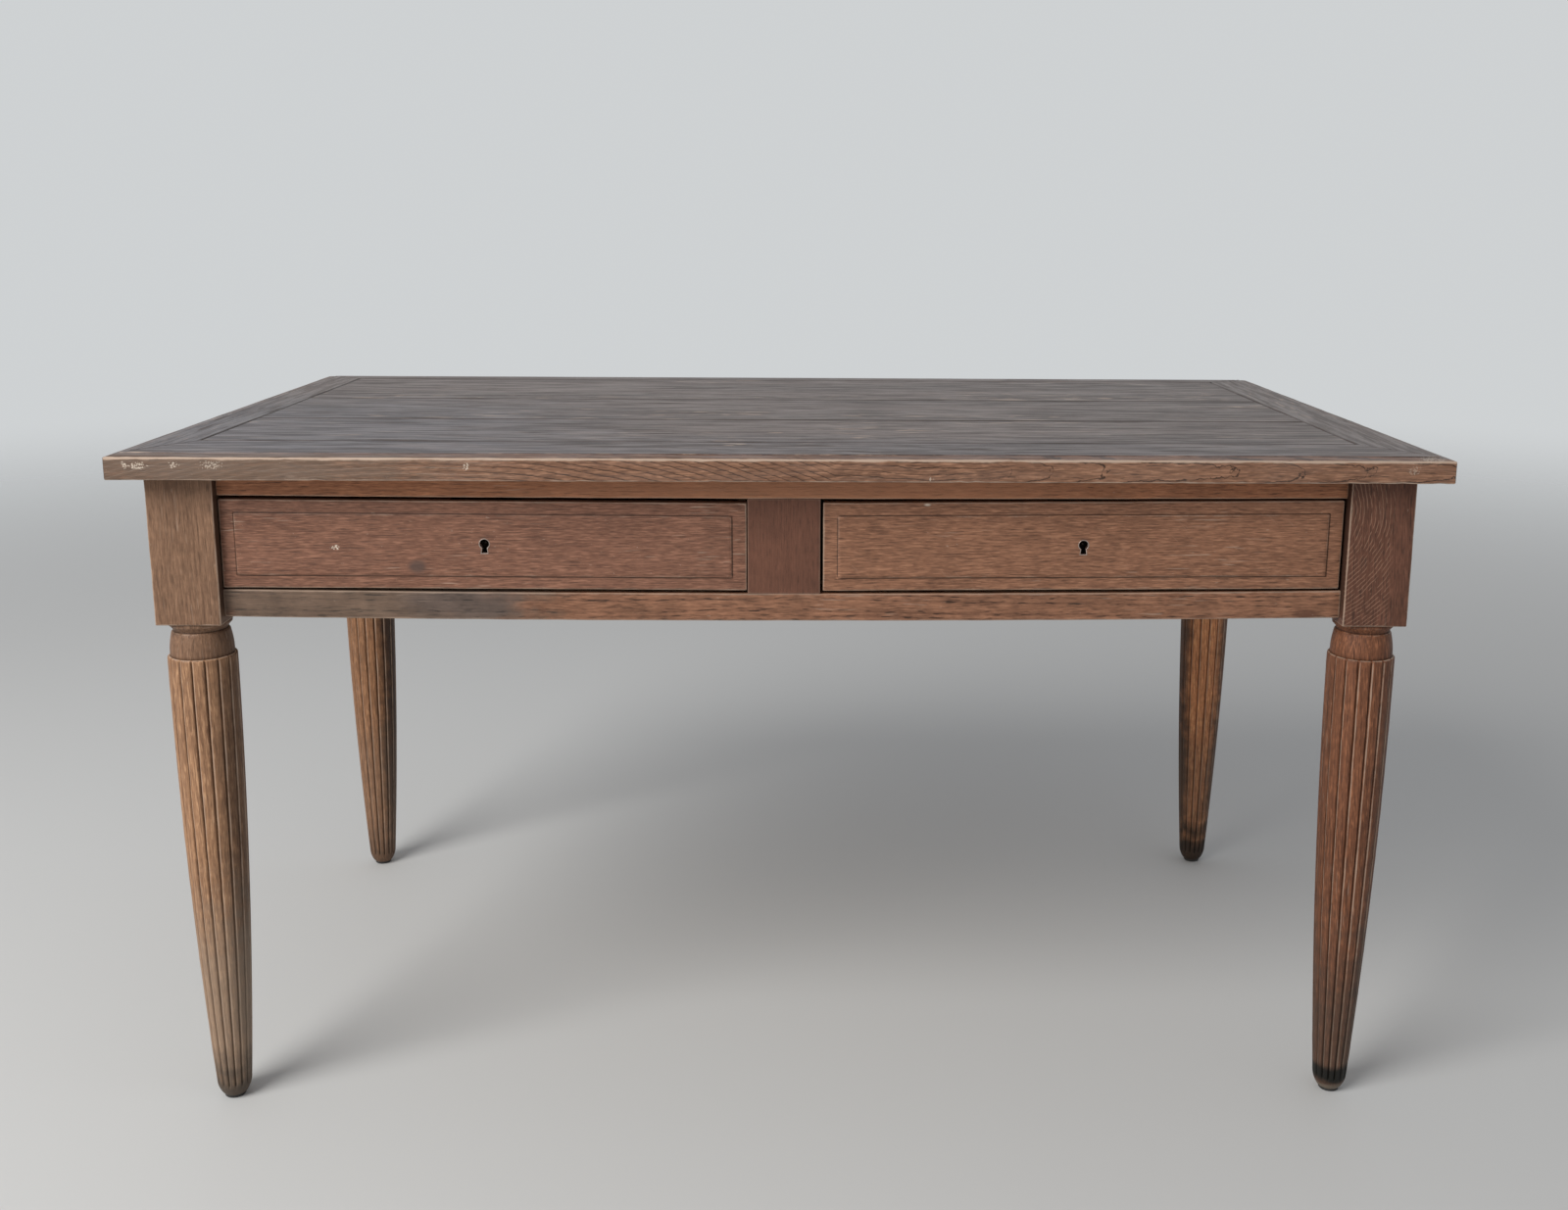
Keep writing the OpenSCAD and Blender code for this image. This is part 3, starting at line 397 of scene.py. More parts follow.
def finish_piece(bm, name, body, nodes, slot, material):
    """Turns a bmesh into a piece that rides on a body and stands for CAD nodes"""
    bmesh.ops.recalc_face_normals(bm, faces=bm.faces)
    for face in bm.faces:
        face.smooth = True
    piece = link_mesh(name, bm)
    piece.data.set_sharp_from_angle(angle=SHARP_ANGLE)
    piece.data.materials.append(material)
    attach(piece, body)
    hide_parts(*nodes)
    return piece


def bar(name, node, long_axis, ends, arris, material, shape=None, amount=BAR_DRIFT):
    """A CAD timber without its tenons, with worn arrises; shape moves a point where it is bent"""
    low, high = (Vector(end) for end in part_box(node))
    low[long_axis], high[long_axis] = ends
    bm = timber_mesh()
    verts = worn_box(bm, low, high, arris, WEAR_REACH, LONG_PITCH, long_axis)
    mark(bm, verts, box_wear(low, high, WEAR_REACH))
    weather(bm, verts, amount)
    if shape:
        for v in bm.verts:
            v.co = shape(v.co)
    return finish_piece(bm, name, "frame", [node], "body_oak", material)


# Node trees

class Value:
    """An output of a node; arithmetic with it adds the nodes that work it out"""

    def __init__(self, graph, socket):
        self.graph = graph
        self.socket = socket

    def __add__(self, other):
        return self.graph.math("ADD", self, other)

    def __sub__(self, other):
        return self.graph.math("SUBTRACT", self, other)

    def __rsub__(self, other):
        return self.graph.math("SUBTRACT", other, self)

    def __mul__(self, other):
        return self.graph.math("MULTIPLY", self, other)

    def __truediv__(self, other):
        return self.graph.math("DIVIDE", self, other)

    def __abs__(self):
        return self.graph.math("ABSOLUTE", self)


class Graph:
    """A node tree with short calls that add its nodes and link them"""

    def __init__(self, tree):
        self.tree = tree

    def fill(self, node, inputs):
        """Links or sets the inputs of a node"""
        for key, value in dict(inputs).items():
            socket = node.inputs[key]
            if isinstance(value, Value):
                self.tree.links.new(value.socket, socket)
            elif value is not None:
                rgb = socket.type == "RGBA" and len(value) == 3
                socket.default_value = (*value, 1.0) if rgb else value

    def add(self, kind, inputs=(), **attributes):
        node = self.tree.nodes.new(kind)
        for key, value in attributes.items():
            setattr(node, key, value)
        self.fill(node, inputs)
        return node

    def out(self, key, kind, inputs=(), **attributes):
        """One output of a new node"""
        return Value(self, self.add(kind, inputs, **attributes).outputs[key])

    def math(self, operation, a, b=None, clamp=False):
        """Works with numbers, or with vectors if the first is a vector or a colour"""
        if isinstance(a, Value) and a.socket.type != "VALUE":
            return self.out(0, "ShaderNodeVectorMath", {0: a, 1: b}, operation=operation)
        return self.out(0, "ShaderNodeMath", {0: a, 1: b}, operation=operation, use_clamp=clamp)

    def most(self, a, b):
        return self.math("MAXIMUM", a, b)

    def length(self, vector):
        return self.out("Value", "ShaderNodeVectorMath", {0: vector}, operation="LENGTH")

    def split(self, vector):
        node = self.add("ShaderNodeSeparateXYZ", {"Vector": vector})
        return [Value(self, part) for part in node.outputs]

    def join(self, x, y, z):
        return self.out(0, "ShaderNodeCombineXYZ", {"X": x, "Y": y, "Z": z})

    def map(self, vector, rotation, location=(0, 0, 0), scale=(1, 1, 1)):
        return self.out(0, "ShaderNodeMapping", {
            "Vector": vector, "Location": location, "Rotation": rotation, "Scale": scale})

    def noise(self, vector, *cells, detail=2.0, roughness=0.5, key="Fac"):
        """Noise with so many cells to the metre along each axis; the last count holds for the
        axes that aren't given"""
        stretch = (*cells, cells[-1], cells[-1])[:3]
        return self.out(key, "ShaderNodeTexNoise", {
            "Vector": vector * stretch, "Scale": 1.0, "Detail": detail, "Roughness": roughness})

    def ramp(self, value, low, high, to_low=0.0, to_high=1.0):
        """A smooth step from low to high"""
        return self.out("Result", "ShaderNodeMapRange", {
            "Value": value, "From Min": low, "From Max": high, "To Min": to_low,
            "To Max": to_high}, interpolation_type="SMOOTHSTEP")

    def fade(self, value, low, high):
        """A smooth step down from one at low to nothing at high"""
        return self.ramp(value, low, high, 1.0, 0.0)

    def off_middle(self, phase):
        """How far a phase is from the middle of its turn"""
        return abs(self.math("FRACT", phase) - 0.5)

    def mix(self, factor, a, b, blend_type="MIX"):
        return self.out(2, "ShaderNodeMix", {"Factor": factor, 6: a, 7: b}, data_type="RGBA",
                        blend_type=blend_type)

    def gain(self, tone, factor):
        return self.mix(1.0, tone, factor, "MULTIPLY")

    def relief(self, height, strength, distance):
        return self.out(0, "ShaderNodeBump", {
            "Strength": strength, "Distance": distance, "Height": height})

    def use(self, group, **inputs):
        """The outputs of a node group that is fed these inputs"""
        titled = {key.title(): value for key, value in inputs.items()}
        node = self.add("ShaderNodeGroup", titled, node_tree=group())
        return {part.name: Value(self, part) for part in node.outputs}

    def over(self, group, place, tone, **inputs):
        """A tone with what a node group draws on it"""
        return self.use(group, place=place, tone=tone, **inputs)["Color"]


SOCKETS = {float: "NodeSocketFloat", Vector: "NodeSocketVector", tuple: "NodeSocketColor"}
ORIGIN = Vector()
WOOD = (0.3, 0.2, 0.1)


def node_group(draw):
    """Makes a function that draws in a graph into one that gives a node group, drawn once. The
    parameters of the function are the inputs of the group: a float is a number, a Vector a
    vector and a tuple a colour"""
    name = draw.__name__.replace("_", " ").capitalize()
    inputs = list(inspect.signature(draw).parameters.values())[1:]

    def tree():
        if name in bpy.data.node_groups:
            return bpy.data.node_groups[name]
        made = bpy.data.node_groups.new(name, "ShaderNodeTree")
        for entry in inputs:
            value = entry.default
            socket = made.interface.new_socket(
                name=entry.name.title(), in_out="INPUT", socket_type=SOCKETS[type(value)])
            socket.default_value = (*value, 1.0) if isinstance(value, tuple) else value
        g = Graph(made)
        given = g.add("NodeGroupInput").outputs
        results = draw(g, *[Value(g, given[entry.name.title()]) for entry in inputs])
        for key in results:
            made.interface.new_socket(
                name=key, in_out="OUTPUT", socket_type=SOCKETS[tuple if key == "Color" else float])
        g.add("NodeGroupOutput", results)
        return made

    return tree


@node_group
def oak_grain(g, place=ORIGIN, spacing=0.0035, warp=0.012, rings=0.35, fibres=1.1, dashes=1.5,
              streaks=0.5, patches=0.8, pores=0.65, flecks=0.25, rays=0.08, light=WOOD, dark=WOOD,
              pore=WOOD):
    """Rings round a pith along X, fibres, dashes, open pores, flecks and medullary rays"""
    drift = g.noise(place, 1.7, 8.0, key="Color") - (0.5, 0.5, 0.5)
    bent = place + drift * g.join(0.0, warp, warp)
    x, y, z = g.split(bent)
    radius = g.length(g.join(0.0, y, z))
    pace = g.noise(g.join(0.0, radius, 0.0), 1.0, 60.0, 1.0, detail=1.0)
    turn = g.math("FRACT", pace * 3.0 + radius / spacing)
    ring = g.most(g.fade(turn, 0.0, 0.55), g.ramp(turn, 0.86, 1.0))
    fibre = g.noise(place, 12.0, 480.0, detail=3.0, roughness=0.6)
    dash = g.noise(bent, 100.0, 800.0, roughness=0.6)
    streak = g.noise(bent, 5.0, 70.0, detail=4.0, roughness=0.65)
    patch = g.noise(place, 4.0, 15.0, detail=4.0, roughness=0.6)
    depth = ring * rings
    for figure, amount in ((fibre, fibres), (dash, dashes), (streak, streaks), (patch, patches)):
        depth = (figure - 0.5) * amount + depth
    tone = g.mix(g.math("ADD", depth, 0.32, clamp=True), light, dark)
    grit = g.noise(place, 65.0, 640.0, detail=1.0)
    fleck = g.fade(grit, 0.34, 0.44)
    turned = g.join(x, radius, g.math("ARCTAN2", z, y))
    ray = g.ramp(g.noise(turned, 38.0, 24.0, 34.0, detail=1.0), 0.58, 0.70)
    tone = g.mix(g.most(ray * rays, fleck * flecks), tone, light, "SCREEN")
    open_pore = g.ramp(grit, 0.56, 0.68) * (ring * 0.6 + 0.4)
    height = fibre * 0.7 - open_pore - ring * 0.3 + streak * 0.8
    return {"Color": g.mix(open_pore * pores, tone, pore), "Height": height, "Fibre": fibre}


@node_group
def rubbed_edges(g, place=ORIGIN, tone=WOOD, wear=0.0, grime=0.0, amount=0.7, bare=WOOD,
                 dirt=WOOD):
    """Bare wood where the arrises are worn, broken up along their length, and painted shade and
    dirt in hollows
    """
    patch = g.noise(place, 28.0, detail=4.0, roughness=0.7)
    mask = g.ramp((patch - 0.5) * 1.3 + wear, 0.40, 0.92) * amount
    tone = g.mix(mask, tone, bare)
    return {"Color": g.mix(g.math("MULTIPLY", grime, 0.9, clamp=True), tone, dirt)}


@node_group
def scuffs(g, place=ORIGIN, tone=WOOD, amount=0.5, tint=WOOD):
    """Pale scratches along the grain and small pale knocks"""
    scratch = g.ramp(g.noise(place, 30.0, 480.0, detail=1.0), 0.64, 0.74)
    zone = g.ramp(g.noise(place, 6.0, 22.0, detail=1.0), 0.45, 0.65)
    knock = g.ramp(g.noise(place, 110.0, 300.0, detail=1.0), 0.76, 0.82)
    return {"Color": g.mix(g.most(scratch * zone, knock * 0.8) * amount, tone, tint)}


@node_group
def stain(g, place=ORIGIN, tone=WOOD, middle=ORIGIN, reach=ORIGIN, amount=0.5, tint=WOOD,
          inner=0.55, outer=1.35):
    """A soft spot of another colour round a place, with a ragged edge"""
    ragged = g.noise(place, 30.0, 60.0, detail=3.0)
    far = ragged * 0.7 + g.length((place - middle) / reach)
    return {"Color": g.mix(g.fade(far, inner, outer) * amount, tone, tint)}


@node_group
def specks(g, place=ORIGIN, tone=WOOD, middle=ORIGIN, reach=ORIGIN, amount=0.8, tint=WOOD):
    """Small crisp chips, crowded together round a place"""
    near = g.fade(g.length((place - middle) / reach), 0.2, 1.1)
    dots = g.noise(place, 480.0, roughness=0.6)
    return {"Color": g.mix(g.ramp(near * 0.27 + dots, 0.74, 0.79) * amount, tone, tint)}


# Distance between growth lines, between their tips behind the knot, and between ray arcs, and
# half the height over which the tips bend
LINE_SPACING = 0.0062
TIP_SPACING = 0.075
ARC_SPACING = 0.0041
TIP_HALF = 0.0135


@node_group
def growth_lines(g, place=ORIGIN, tone=WOOD, line=WOOD, bare=WOOD, middle=0.742, bend=0.5,
                 turn=-0.38, knot=0.05):
    """Dark growth lines on an edge: they rise, fall and crowd together before a knot, and
    close in blunt tips behind it"""
    x, y, z = g.split(place)
    beyond = x - knot
    run = g.math("MINIMUM", x, knot) - turn
    wave = (g.noise(place, 9.0, 9.0, 22.0) - 0.5) * g.ramp(beyond, -0.05, 0.15, 0.006, 0.030)
    ripple = g.noise(place, 110.0, detail=3.0) - 0.5
    level = z + run * run * bend + wave + ripple * 0.0022 + y * 0.6
    phase = g.math("FRACT", level / LINE_SPACING)
    broken = g.ramp(g.noise(place, 70.0, 300.0), 0.34, 0.46, 0.2, 1.0)
    where = g.ramp(g.noise(place, 7.0, 7.0, 60.0, detail=1.0), 0.30, 0.48, 0.35, 1.0)
    behind = g.ramp(beyond, 0.12, 0.22)
    before = g.ramp(run, 0.0, 0.12, 0.35, 1.0) * (1.0 - behind)
    lines = g.most(g.fade(phase, 0.0, 0.20), g.ramp(phase, 0.92, 0.98)) * broken * where * before
    half = abs((z - middle) / TIP_HALF)
    cone = half * half * half * 1.1 + beyond / TIP_SPACING
    cone = g.noise(place, 6.0, detail=1.0) * 2.4 + cone + ripple * 0.65
    steep = g.length(g.join(1.4 / TIP_SPACING, half * half * 240.0, 0.0))
    tips = g.fade(g.off_middle(cone) / steep, 0.0002, 0.0010) * broken * behind
    tone = g.gain(tone, g.ramp(phase, 0.1, 0.9) * 0.12 + 0.94)
    pale = g.fade(abs(phase - 0.5), 0.02, 0.11) * broken * g.ramp(run, 0.0, 0.14, 0.45, 0.0)
    return {"Color": g.mix(g.most(lines, tips), g.mix(pale, tone, bare), line)}


@node_group
def ray_arcs(g, place=ORIGIN, tone=WOOD, tint=WOOD, centre=ORIGIN, reach=0.1):
    """Pale medullary rays that curve in arcs round a place, on the skin of one face"""
    x, y, z = g.split(place - centre)
    wave = g.noise(place, 24.0, detail=4.0, roughness=0.6)
    off = g.off_middle(wave * 2.2 + g.length(g.join(x, 0.0, z)) / ARC_SPACING)
    broken = g.ramp(g.noise(place, 130.0, 130.0, 70.0, detail=1.0), 0.36, 0.52)
    mask = g.fade(off, 0.02, 0.17) * broken * g.fade(x, reach, reach + 0.012)
    return {"Color": g.mix(mask * g.fade(y, 0.004, 0.008) * 0.65, tone, tint)}


@node_group
def board_marks(g, place=ORIGIN, tone=WOOD, dirt=WOOD, bare=WOOD, marked=1.0):
    """Bands, streaks, dark cracks and pale scratches along a board, as on a worn top, and the
    wax that is left between them"""
    band = g.noise(place, 1.3, 14.0, detail=3.0) - 0.5
    streak = g.noise(place, 7.0, 80.0, detail=4.0, roughness=0.7) - 0.5
    line = g.noise(place, 12.0, 130.0) - 0.5
    tone = g.gain(tone, (band + streak * 0.8 + line * 2.0) * marked + 1.0)
    torn = g.ramp(g.noise(place, 2.5, 9.0, detail=1.0), 0.42, 0.58)
    crack = g.ramp(g.noise(place, 8.0, 110.0), 0.59, 0.64) * torn * 0.9
    moved = place + (0.37, 0.11, 0.23)
    rubbed = g.ramp(g.noise(moved, 2.2, 7.0, detail=1.0), 0.46, 0.62)
    scratch = g.ramp(g.noise(moved, 24.0, 150.0, detail=1.0), 0.64, 0.71) * rubbed * marked * 0.8
    wax = g.ramp(line * 1.4 + streak, -0.12, 0.16, 0.2, 1.0) * (1.0 - crack)
    return {"Color": g.mix(scratch, g.mix(crack, tone, dirt), bare), "Wax": wax}


# Materials

# How each axis of the grain turns onto X
GRAIN_TURN = {
    "X": Euler((0.0, 0.0, 0.0)),
    "Y": Euler((0.0, 0.0, -math.pi / 2)),
    "Z": Euler((0.0, math.pi / 2, 0.0)),
}


# Gloss of old oak, how much rougher its rough fibres are than its smooth ones, the depth of its
# relief, and the roughness of wax
OAK_GLOSS = 0.28
FIBRE_ROUGH = 0.22
OAK_RELIEF = 0.0006
WAX_ROUGH = 0.42


def made_once(name, draw):
    """A material; draw gets its graph and the place on the object, and returns the inputs of
    its shader"""
    if name not in bpy.data.materials:
        material = bpy.data.materials.new(name)
        material.use_nodes = True
        g = Graph(material.node_tree)
        inputs = draw(g, g.out("Object", "ShaderNodeTexCoord"))
        g.fill(material.node_tree.nodes["Principled BSDF"], inputs)
    return bpy.data.materials[name]


def tones(wood, level=1.0):
    """Colours of a wood for its grain, at a level of their light"""
    finish = settings().finish
    return {"light": shaded(getattr(finish, f"{wood}_light"), level),
            "dark": shaded(getattr(finish, f"{wood}_dark"), level), "pore": finish.pore}


def spot(middle, reach, amount, tint, inner=0.55, outer=1.35):
    """A stain: its middle, its reach on each axis, its strength and colour, and where its edge
    starts and ends"""
    return {"middle": middle, "reach": reach, "amount": amount, "tint": tint, "inner": inner,
            "outer": outer}


def stained(g, place, tone, spots):
    for entry in spots:
        tone = g.over(stain, place, tone, **entry)
    return tone


def oak(name, wood, level=1.0, axis="X", centre=(0.0, 0.0, 0.0), pith=(0.0, 0.07, 0.11),
        tilt=(0.0, 0.0, 0.0), rough=0.55, edge=0.75, scuff=0.35, bump=0.35, stains=(),
        soaked=(), wax=0.0, figure=None, **grain):
    """An oak material; grain holds values of the grain group, stains the spots below the worn
    edges and soaked those over them, wax is the weight of a coat where the figure leaves wax,
    and figure draws more on the tone"""
    def draw(g, place):
        finish = settings().finish
        lean = Euler(tilt).to_matrix() @ GRAIN_TURN[axis].to_matrix()
        along = g.map(place, lean.to_euler(), Vector(pith) - lean @ Vector(centre))
        timber = g.use(oak_grain, place=along, **tones(wood, level), **grain)
        tone = timber["Color"]
        if figure:
            tone = figure(g, place, along, tone, timber)
        tone = stained(g, place, tone, stains)
        tone = g.over(scuffs, along, tone, amount=scuff, tint=finish.bare)
        # Painted shade and dirt from the mesh layer darken the tone in joints, grooves and creases
        wear, grime = (g.out("Fac", "ShaderNodeAttribute", attribute_name=layer)
                       for layer in (WEAR, GRIME))
        tone = g.over(rubbed_edges, place, tone, wear=wear, grime=grime, amount=edge,
                      bare=finish.bare, dirt=finish.pore)
        surface = {"Base Color": stained(g, place, tone, soaked), "Specular IOR Level": OAK_GLOSS,
                   "Roughness": (timber["Fibre"] - 0.5) * FIBRE_ROUGH + rough,
                   "Normal": g.relief(timber["Height"], bump, OAK_RELIEF)}
        if wax:
            surface.update({"Coat Weight": timber["Wax"] * wax, "Coat Roughness": WAX_ROUGH})
        return surface

    return made_once(name, draw)


def metal(name, base, tarnish, rough, amount):
    """Dull metal with a broken tarnish"""
    def draw(g, place):
        cloud = g.noise(place, 140.0, detail=4.0, roughness=0.65)
        mask = g.ramp(cloud, 0.45, 0.65) * amount
        grain = g.noise(place, 2500.0, 400.0, detail=1.0)
        return {"Base Color": g.mix(mask, base, tarnish), "Metallic": 1.0 - mask * 0.8,
                "Roughness": mask * 0.35 + rough, "Normal": g.relief(grain, 0.2, 0.0002)}

    return made_once(name, draw)


def nylon(name, base):
    """Matt nylon, scuffed by the floor"""
    def draw(g, place):
        dust = g.ramp(g.noise(place, 300.0, detail=4.0), 0.45, 0.7)
        return {"Base Color": g.mix(dust * 0.5, base, shaded(base, 4)),
                "Roughness": dust * 0.25 + 0.5}

    return made_once(name, draw)


def dress(endings, material, word=""):
    """Gives another material to the CAD nodes whose names have one of these endings"""
    for name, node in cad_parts.items():
        if name.endswith(endings) and word in name:
            node.data.materials.clear()
            node.data.materials.append(material)


# The top

# Height above the underside, and inwards along it, at which the edge of the top is cut
EDGE_BAND = 0.006


def rim_height(t, top):
    """Height of the top at a distance inwards from its edge"""
    if t >= top.rim_width:
        return TOP_Z
    s = 1 - t / top.rim_width
    return TOP_Z - top.rim_step - top.rim_fall * s * s


def board_outline(top, width):
    """Section of a frame board, from its lower inner corner outwards and round, as
    distance inwards from the rim and height"""
    inner = width - top.joint_gap
    edge_z = rim_height(0.0, top)
    foot, head, rim, chamfer = top.foot_arris, top.arris, top.rim_width, top.joint_chamfer
    band = [rim * s for s in (0.2, 0.45, 0.7, 0.9)] + [rim - 0.0012, rim - 0.0003]
    return [
        (inner, SLAB_Z), (inner / 2, SLAB_Z), (EDGE_BAND, SLAB_Z),
        *((foot - foot * math.sin(a), SLAB_Z + foot - foot * math.cos(a)) for a in quarter(3)),
        (0.0, SLAB_Z + EDGE_BAND), (0.0, (SLAB_Z + edge_z) / 2), (0.0, edge_z - 0.004),
        *((head - head * math.cos(a), edge_z - head + head * math.sin(a)) for a in quarter(3)),
        *((t, rim_height(t, top)) for t in band),
        (rim, TOP_Z - 0.0004), (rim + 0.0005, TOP_Z), (rim + 0.002, TOP_Z),
        ((rim + inner) / 2, TOP_Z), (inner - chamfer - 0.0012, TOP_Z),
        (inner - chamfer, TOP_Z), (inner, TOP_Z - chamfer),
    ]


# Outward direction of each side of the top, and the direction in which its board runs
SIDES = {
    "front": (Vector((0, -1, 0)), Vector((1, 0, 0))),
    "right": (Vector((1, 0, 0)), Vector((0, 1, 0))),
    "back": (Vector((0, 1, 0)), Vector((-1, 0, 0))),
    "left": (Vector((-1, 0, 0)), Vector((0, -1, 0))),
}


def corner(outward, along, field):
    """Corner of the rim, or of the field, where a side ends in a direction"""
    low, high = (FIELD_LOW, FIELD_HIGH) if field else (Vector(TABLE_LOW), Vector(TABLE_HIGH))
    want = outward + along
    return Vector((
        high.x if want.x > 0 else low.x, high.y if want.y > 0 else low.y, 0.0))


# Wear at the upper arris of the front edge, at its lower arris and at the step of its rim band,
# with the distances at which each starts and stops to fade; and wear at the other three edges
FRONT_WEAR = ((1.05, 0.0007, 0.0026), (0.8, 0.0007, 0.0026), (0.5, 0.0003, 0.0012))
SIDE_WEAR = 0.45
SIDE_WEAR_ENDS = (0.0006, 0.0030)


def frame_board(side, material):
    top = settings().top
    outward, along = SIDES[side]
    end = corner(outward, along, False)
    start = corner(outward, -along, False)
    width = abs((end - corner(outward, along, True)).dot(outward))
    bm = timber_mesh()
    ring = [bm.verts.new(start - outward * t + Vector((0, 0, z)))
            for t, z in board_outline(top, width)]
    grow(bm, [bm.faces.new(ring)], along * (end - start).dot(along))
    axis = 0 if along.x else 1
    pitch = EDGE_PITCH if side == "front" else SHORT_PITCH
    cut_across(bm, axis, steps(*sorted((start[axis], end[axis])), pitch))
    for turn in (1, -1):
        outer = corner(outward, along * turn, False)
        inner = corner(outward, along * turn, True)
        normal = (outer - inner).cross(Vector((0, 0, 1))).normalized()
        if normal.dot(along * turn) < 0:
            normal.negate()
        cut = slice_mesh(bm, inner - normal * top.joint_gap, normal, clear=True)
        rim_edges = [e for e in cut if isinstance(e, bmesh.types.BMEdge)]
        bmesh.ops.holes_fill(bm, edges=rim_edges, sides=0)
    edge_z = rim_height(0.0, top)

    def wear_of(co):
        t = (start - co).dot(outward)
        rim = math.hypot(t, co.z - edge_z)
        foot = math.hypot(t, co.z - SLAB_Z)
        step = math.hypot(t - top.rim_width, co.z - TOP_Z)
        if side != "front":
            return SIDE_WEAR * (1 - smooth(min(rim, foot), *SIDE_WEAR_ENDS))
        return max(0.0, *(full - smooth(away, *ends)
                          for away, (full, *ends) in zip((rim, foot, step), FRONT_WEAR)))

    # Painted shade and dirt on the chamfer where the board meets the field
    def grime_of(co):
        t = (start - co).dot(outward)
        return JOINT_DIRT if t > width - top.joint_gap - top.joint_chamfer - WELD else 0.0

    mark(bm, bm.verts, wear_of, grime_of)
    weather(bm, bm.verts)
    if side == "front":
        dent_front(bm, top, edge_z)
    warp_top(bm, top)
    finish_piece(bm, f"framed_top_{side}", "frame", [f"top_{side}_board"], "top_oak", material)


# Radii of the smallest and largest dent, depth of the shallowest as a share of the deepest, and
# share of the dents that lie along the upper arris
NICK_RADII = (0.004, 0.012)
LEAST_NICK = 0.4
UPPER_NICKS = 0.7


def dent_front(bm, top, edge_z):
    """Small dents along the arrises of the front edge"""
    for i in range(top.nick_count):
        draw = noise.cell_vector(Vector((i * 7.3, 2.1, 0.4)))
        radius = blend(*NICK_RADII, draw.y)
        depth = top.nick * blend(LEAST_NICK, 1.0, draw.z)
        low = draw.z > UPPER_NICKS
        middle = Vector((blend(TABLE_LOW[0], TABLE_HIGH[0], draw.x), TABLE_LOW[1],
                         SLAB_Z if low else edge_z))
        for v in bm.verts:
            fall = 1 - smooth((v.co - middle).length, 0.0, radius)
            if fall > 0:
                v.co += Vector((0, 0.7, 0.7 if low else -0.7)) * depth * fall


def warp_top(bm, top):
    """Leaves the upper face a little out of flat"""
    for v in bm.verts:
        if v.co.z > (SLAB_Z + TOP_Z) / 2:
            wave = noise.noise(Vector((v.co.x * 2.5, v.co.y * 11.0, 0.3)))
            v.co.z -= top.warp * (0.5 + 0.5 * wave)


def plank(node, y0, y1, material):
    """A field plank with small chamfers along its upper edges"""
    top = settings().top
    gap, chamfer = top.joint_gap, top.joint_chamfer
    low = Vector((FIELD_LOW.x + gap, y0 + gap, SLAB_Z))
    high = Vector((FIELD_HIGH.x - gap, y1 - gap, TOP_Z))
    bm = timber_mesh()
    worn_box(bm, low, high, chamfer, 2.2 * chamfer, LONG_PITCH, 0)
    cut_across(bm, 1, steps(low.y, high.y, LONG_PITCH))
    # Painted shade and dirt near the plank's edges, along its chamfered joints
    mark(bm, bm.verts, lambda co: 0.0, box_wear(low, high, 2 * chamfer))
    warp_top(bm, top)
    finish_piece(bm, f"field_{node}", "frame", [node], "top_oak", material)


# Legs

# Up the side of a groove: place in half widths of the groove, share of its depth, wear, painted
# shade and dirt
GROOVE_SIDE_SHARES = ((0.0, 1.0, 0.0, 0.9), (0.4, 0.66, 0.25, 0.35), (0.8, 0.2, 0.85, 0.0),
                      (1.15, 0.04, 0.9, 0.0), (1.8, 0.0, 0.15, 0.0))


# Lengths into which a shaft is cut, and strength of the painted shade and dirt in the angle beside
# a front block
SHAFT_CUTS = 48
ANGLE_DIRT = 0.85


def stave_points(pitch, leg):
    """Across one stave, from groove to groove: share of the pitch, depth, wear, and painted shade
    and dirt; one side of each groove keeps only a share of the wear, so the other stands paler as
    a painted highlight as well as wear
    """
    half = min(leg.groove_width / 2 / pitch, 0.25)
    near = [(s * half, depth, wear, dirt) for s, depth, wear, dirt in GROOVE_SIDE_SHARES]
    # The far side keeps only a share of the wear, so the near side of each groove stands paler: a
    # painted highlight as well as wear
    far = [(1 - s, depth, wear * leg.shade_share, dirt) for s, depth, wear, dirt in near[:0:-1]]
    land = [(blend(near[-1][0], far[0][0], s), 0.0, 0.0, 0.0) for s in (0.25, 0.5, 0.75)]
    return near + land + far


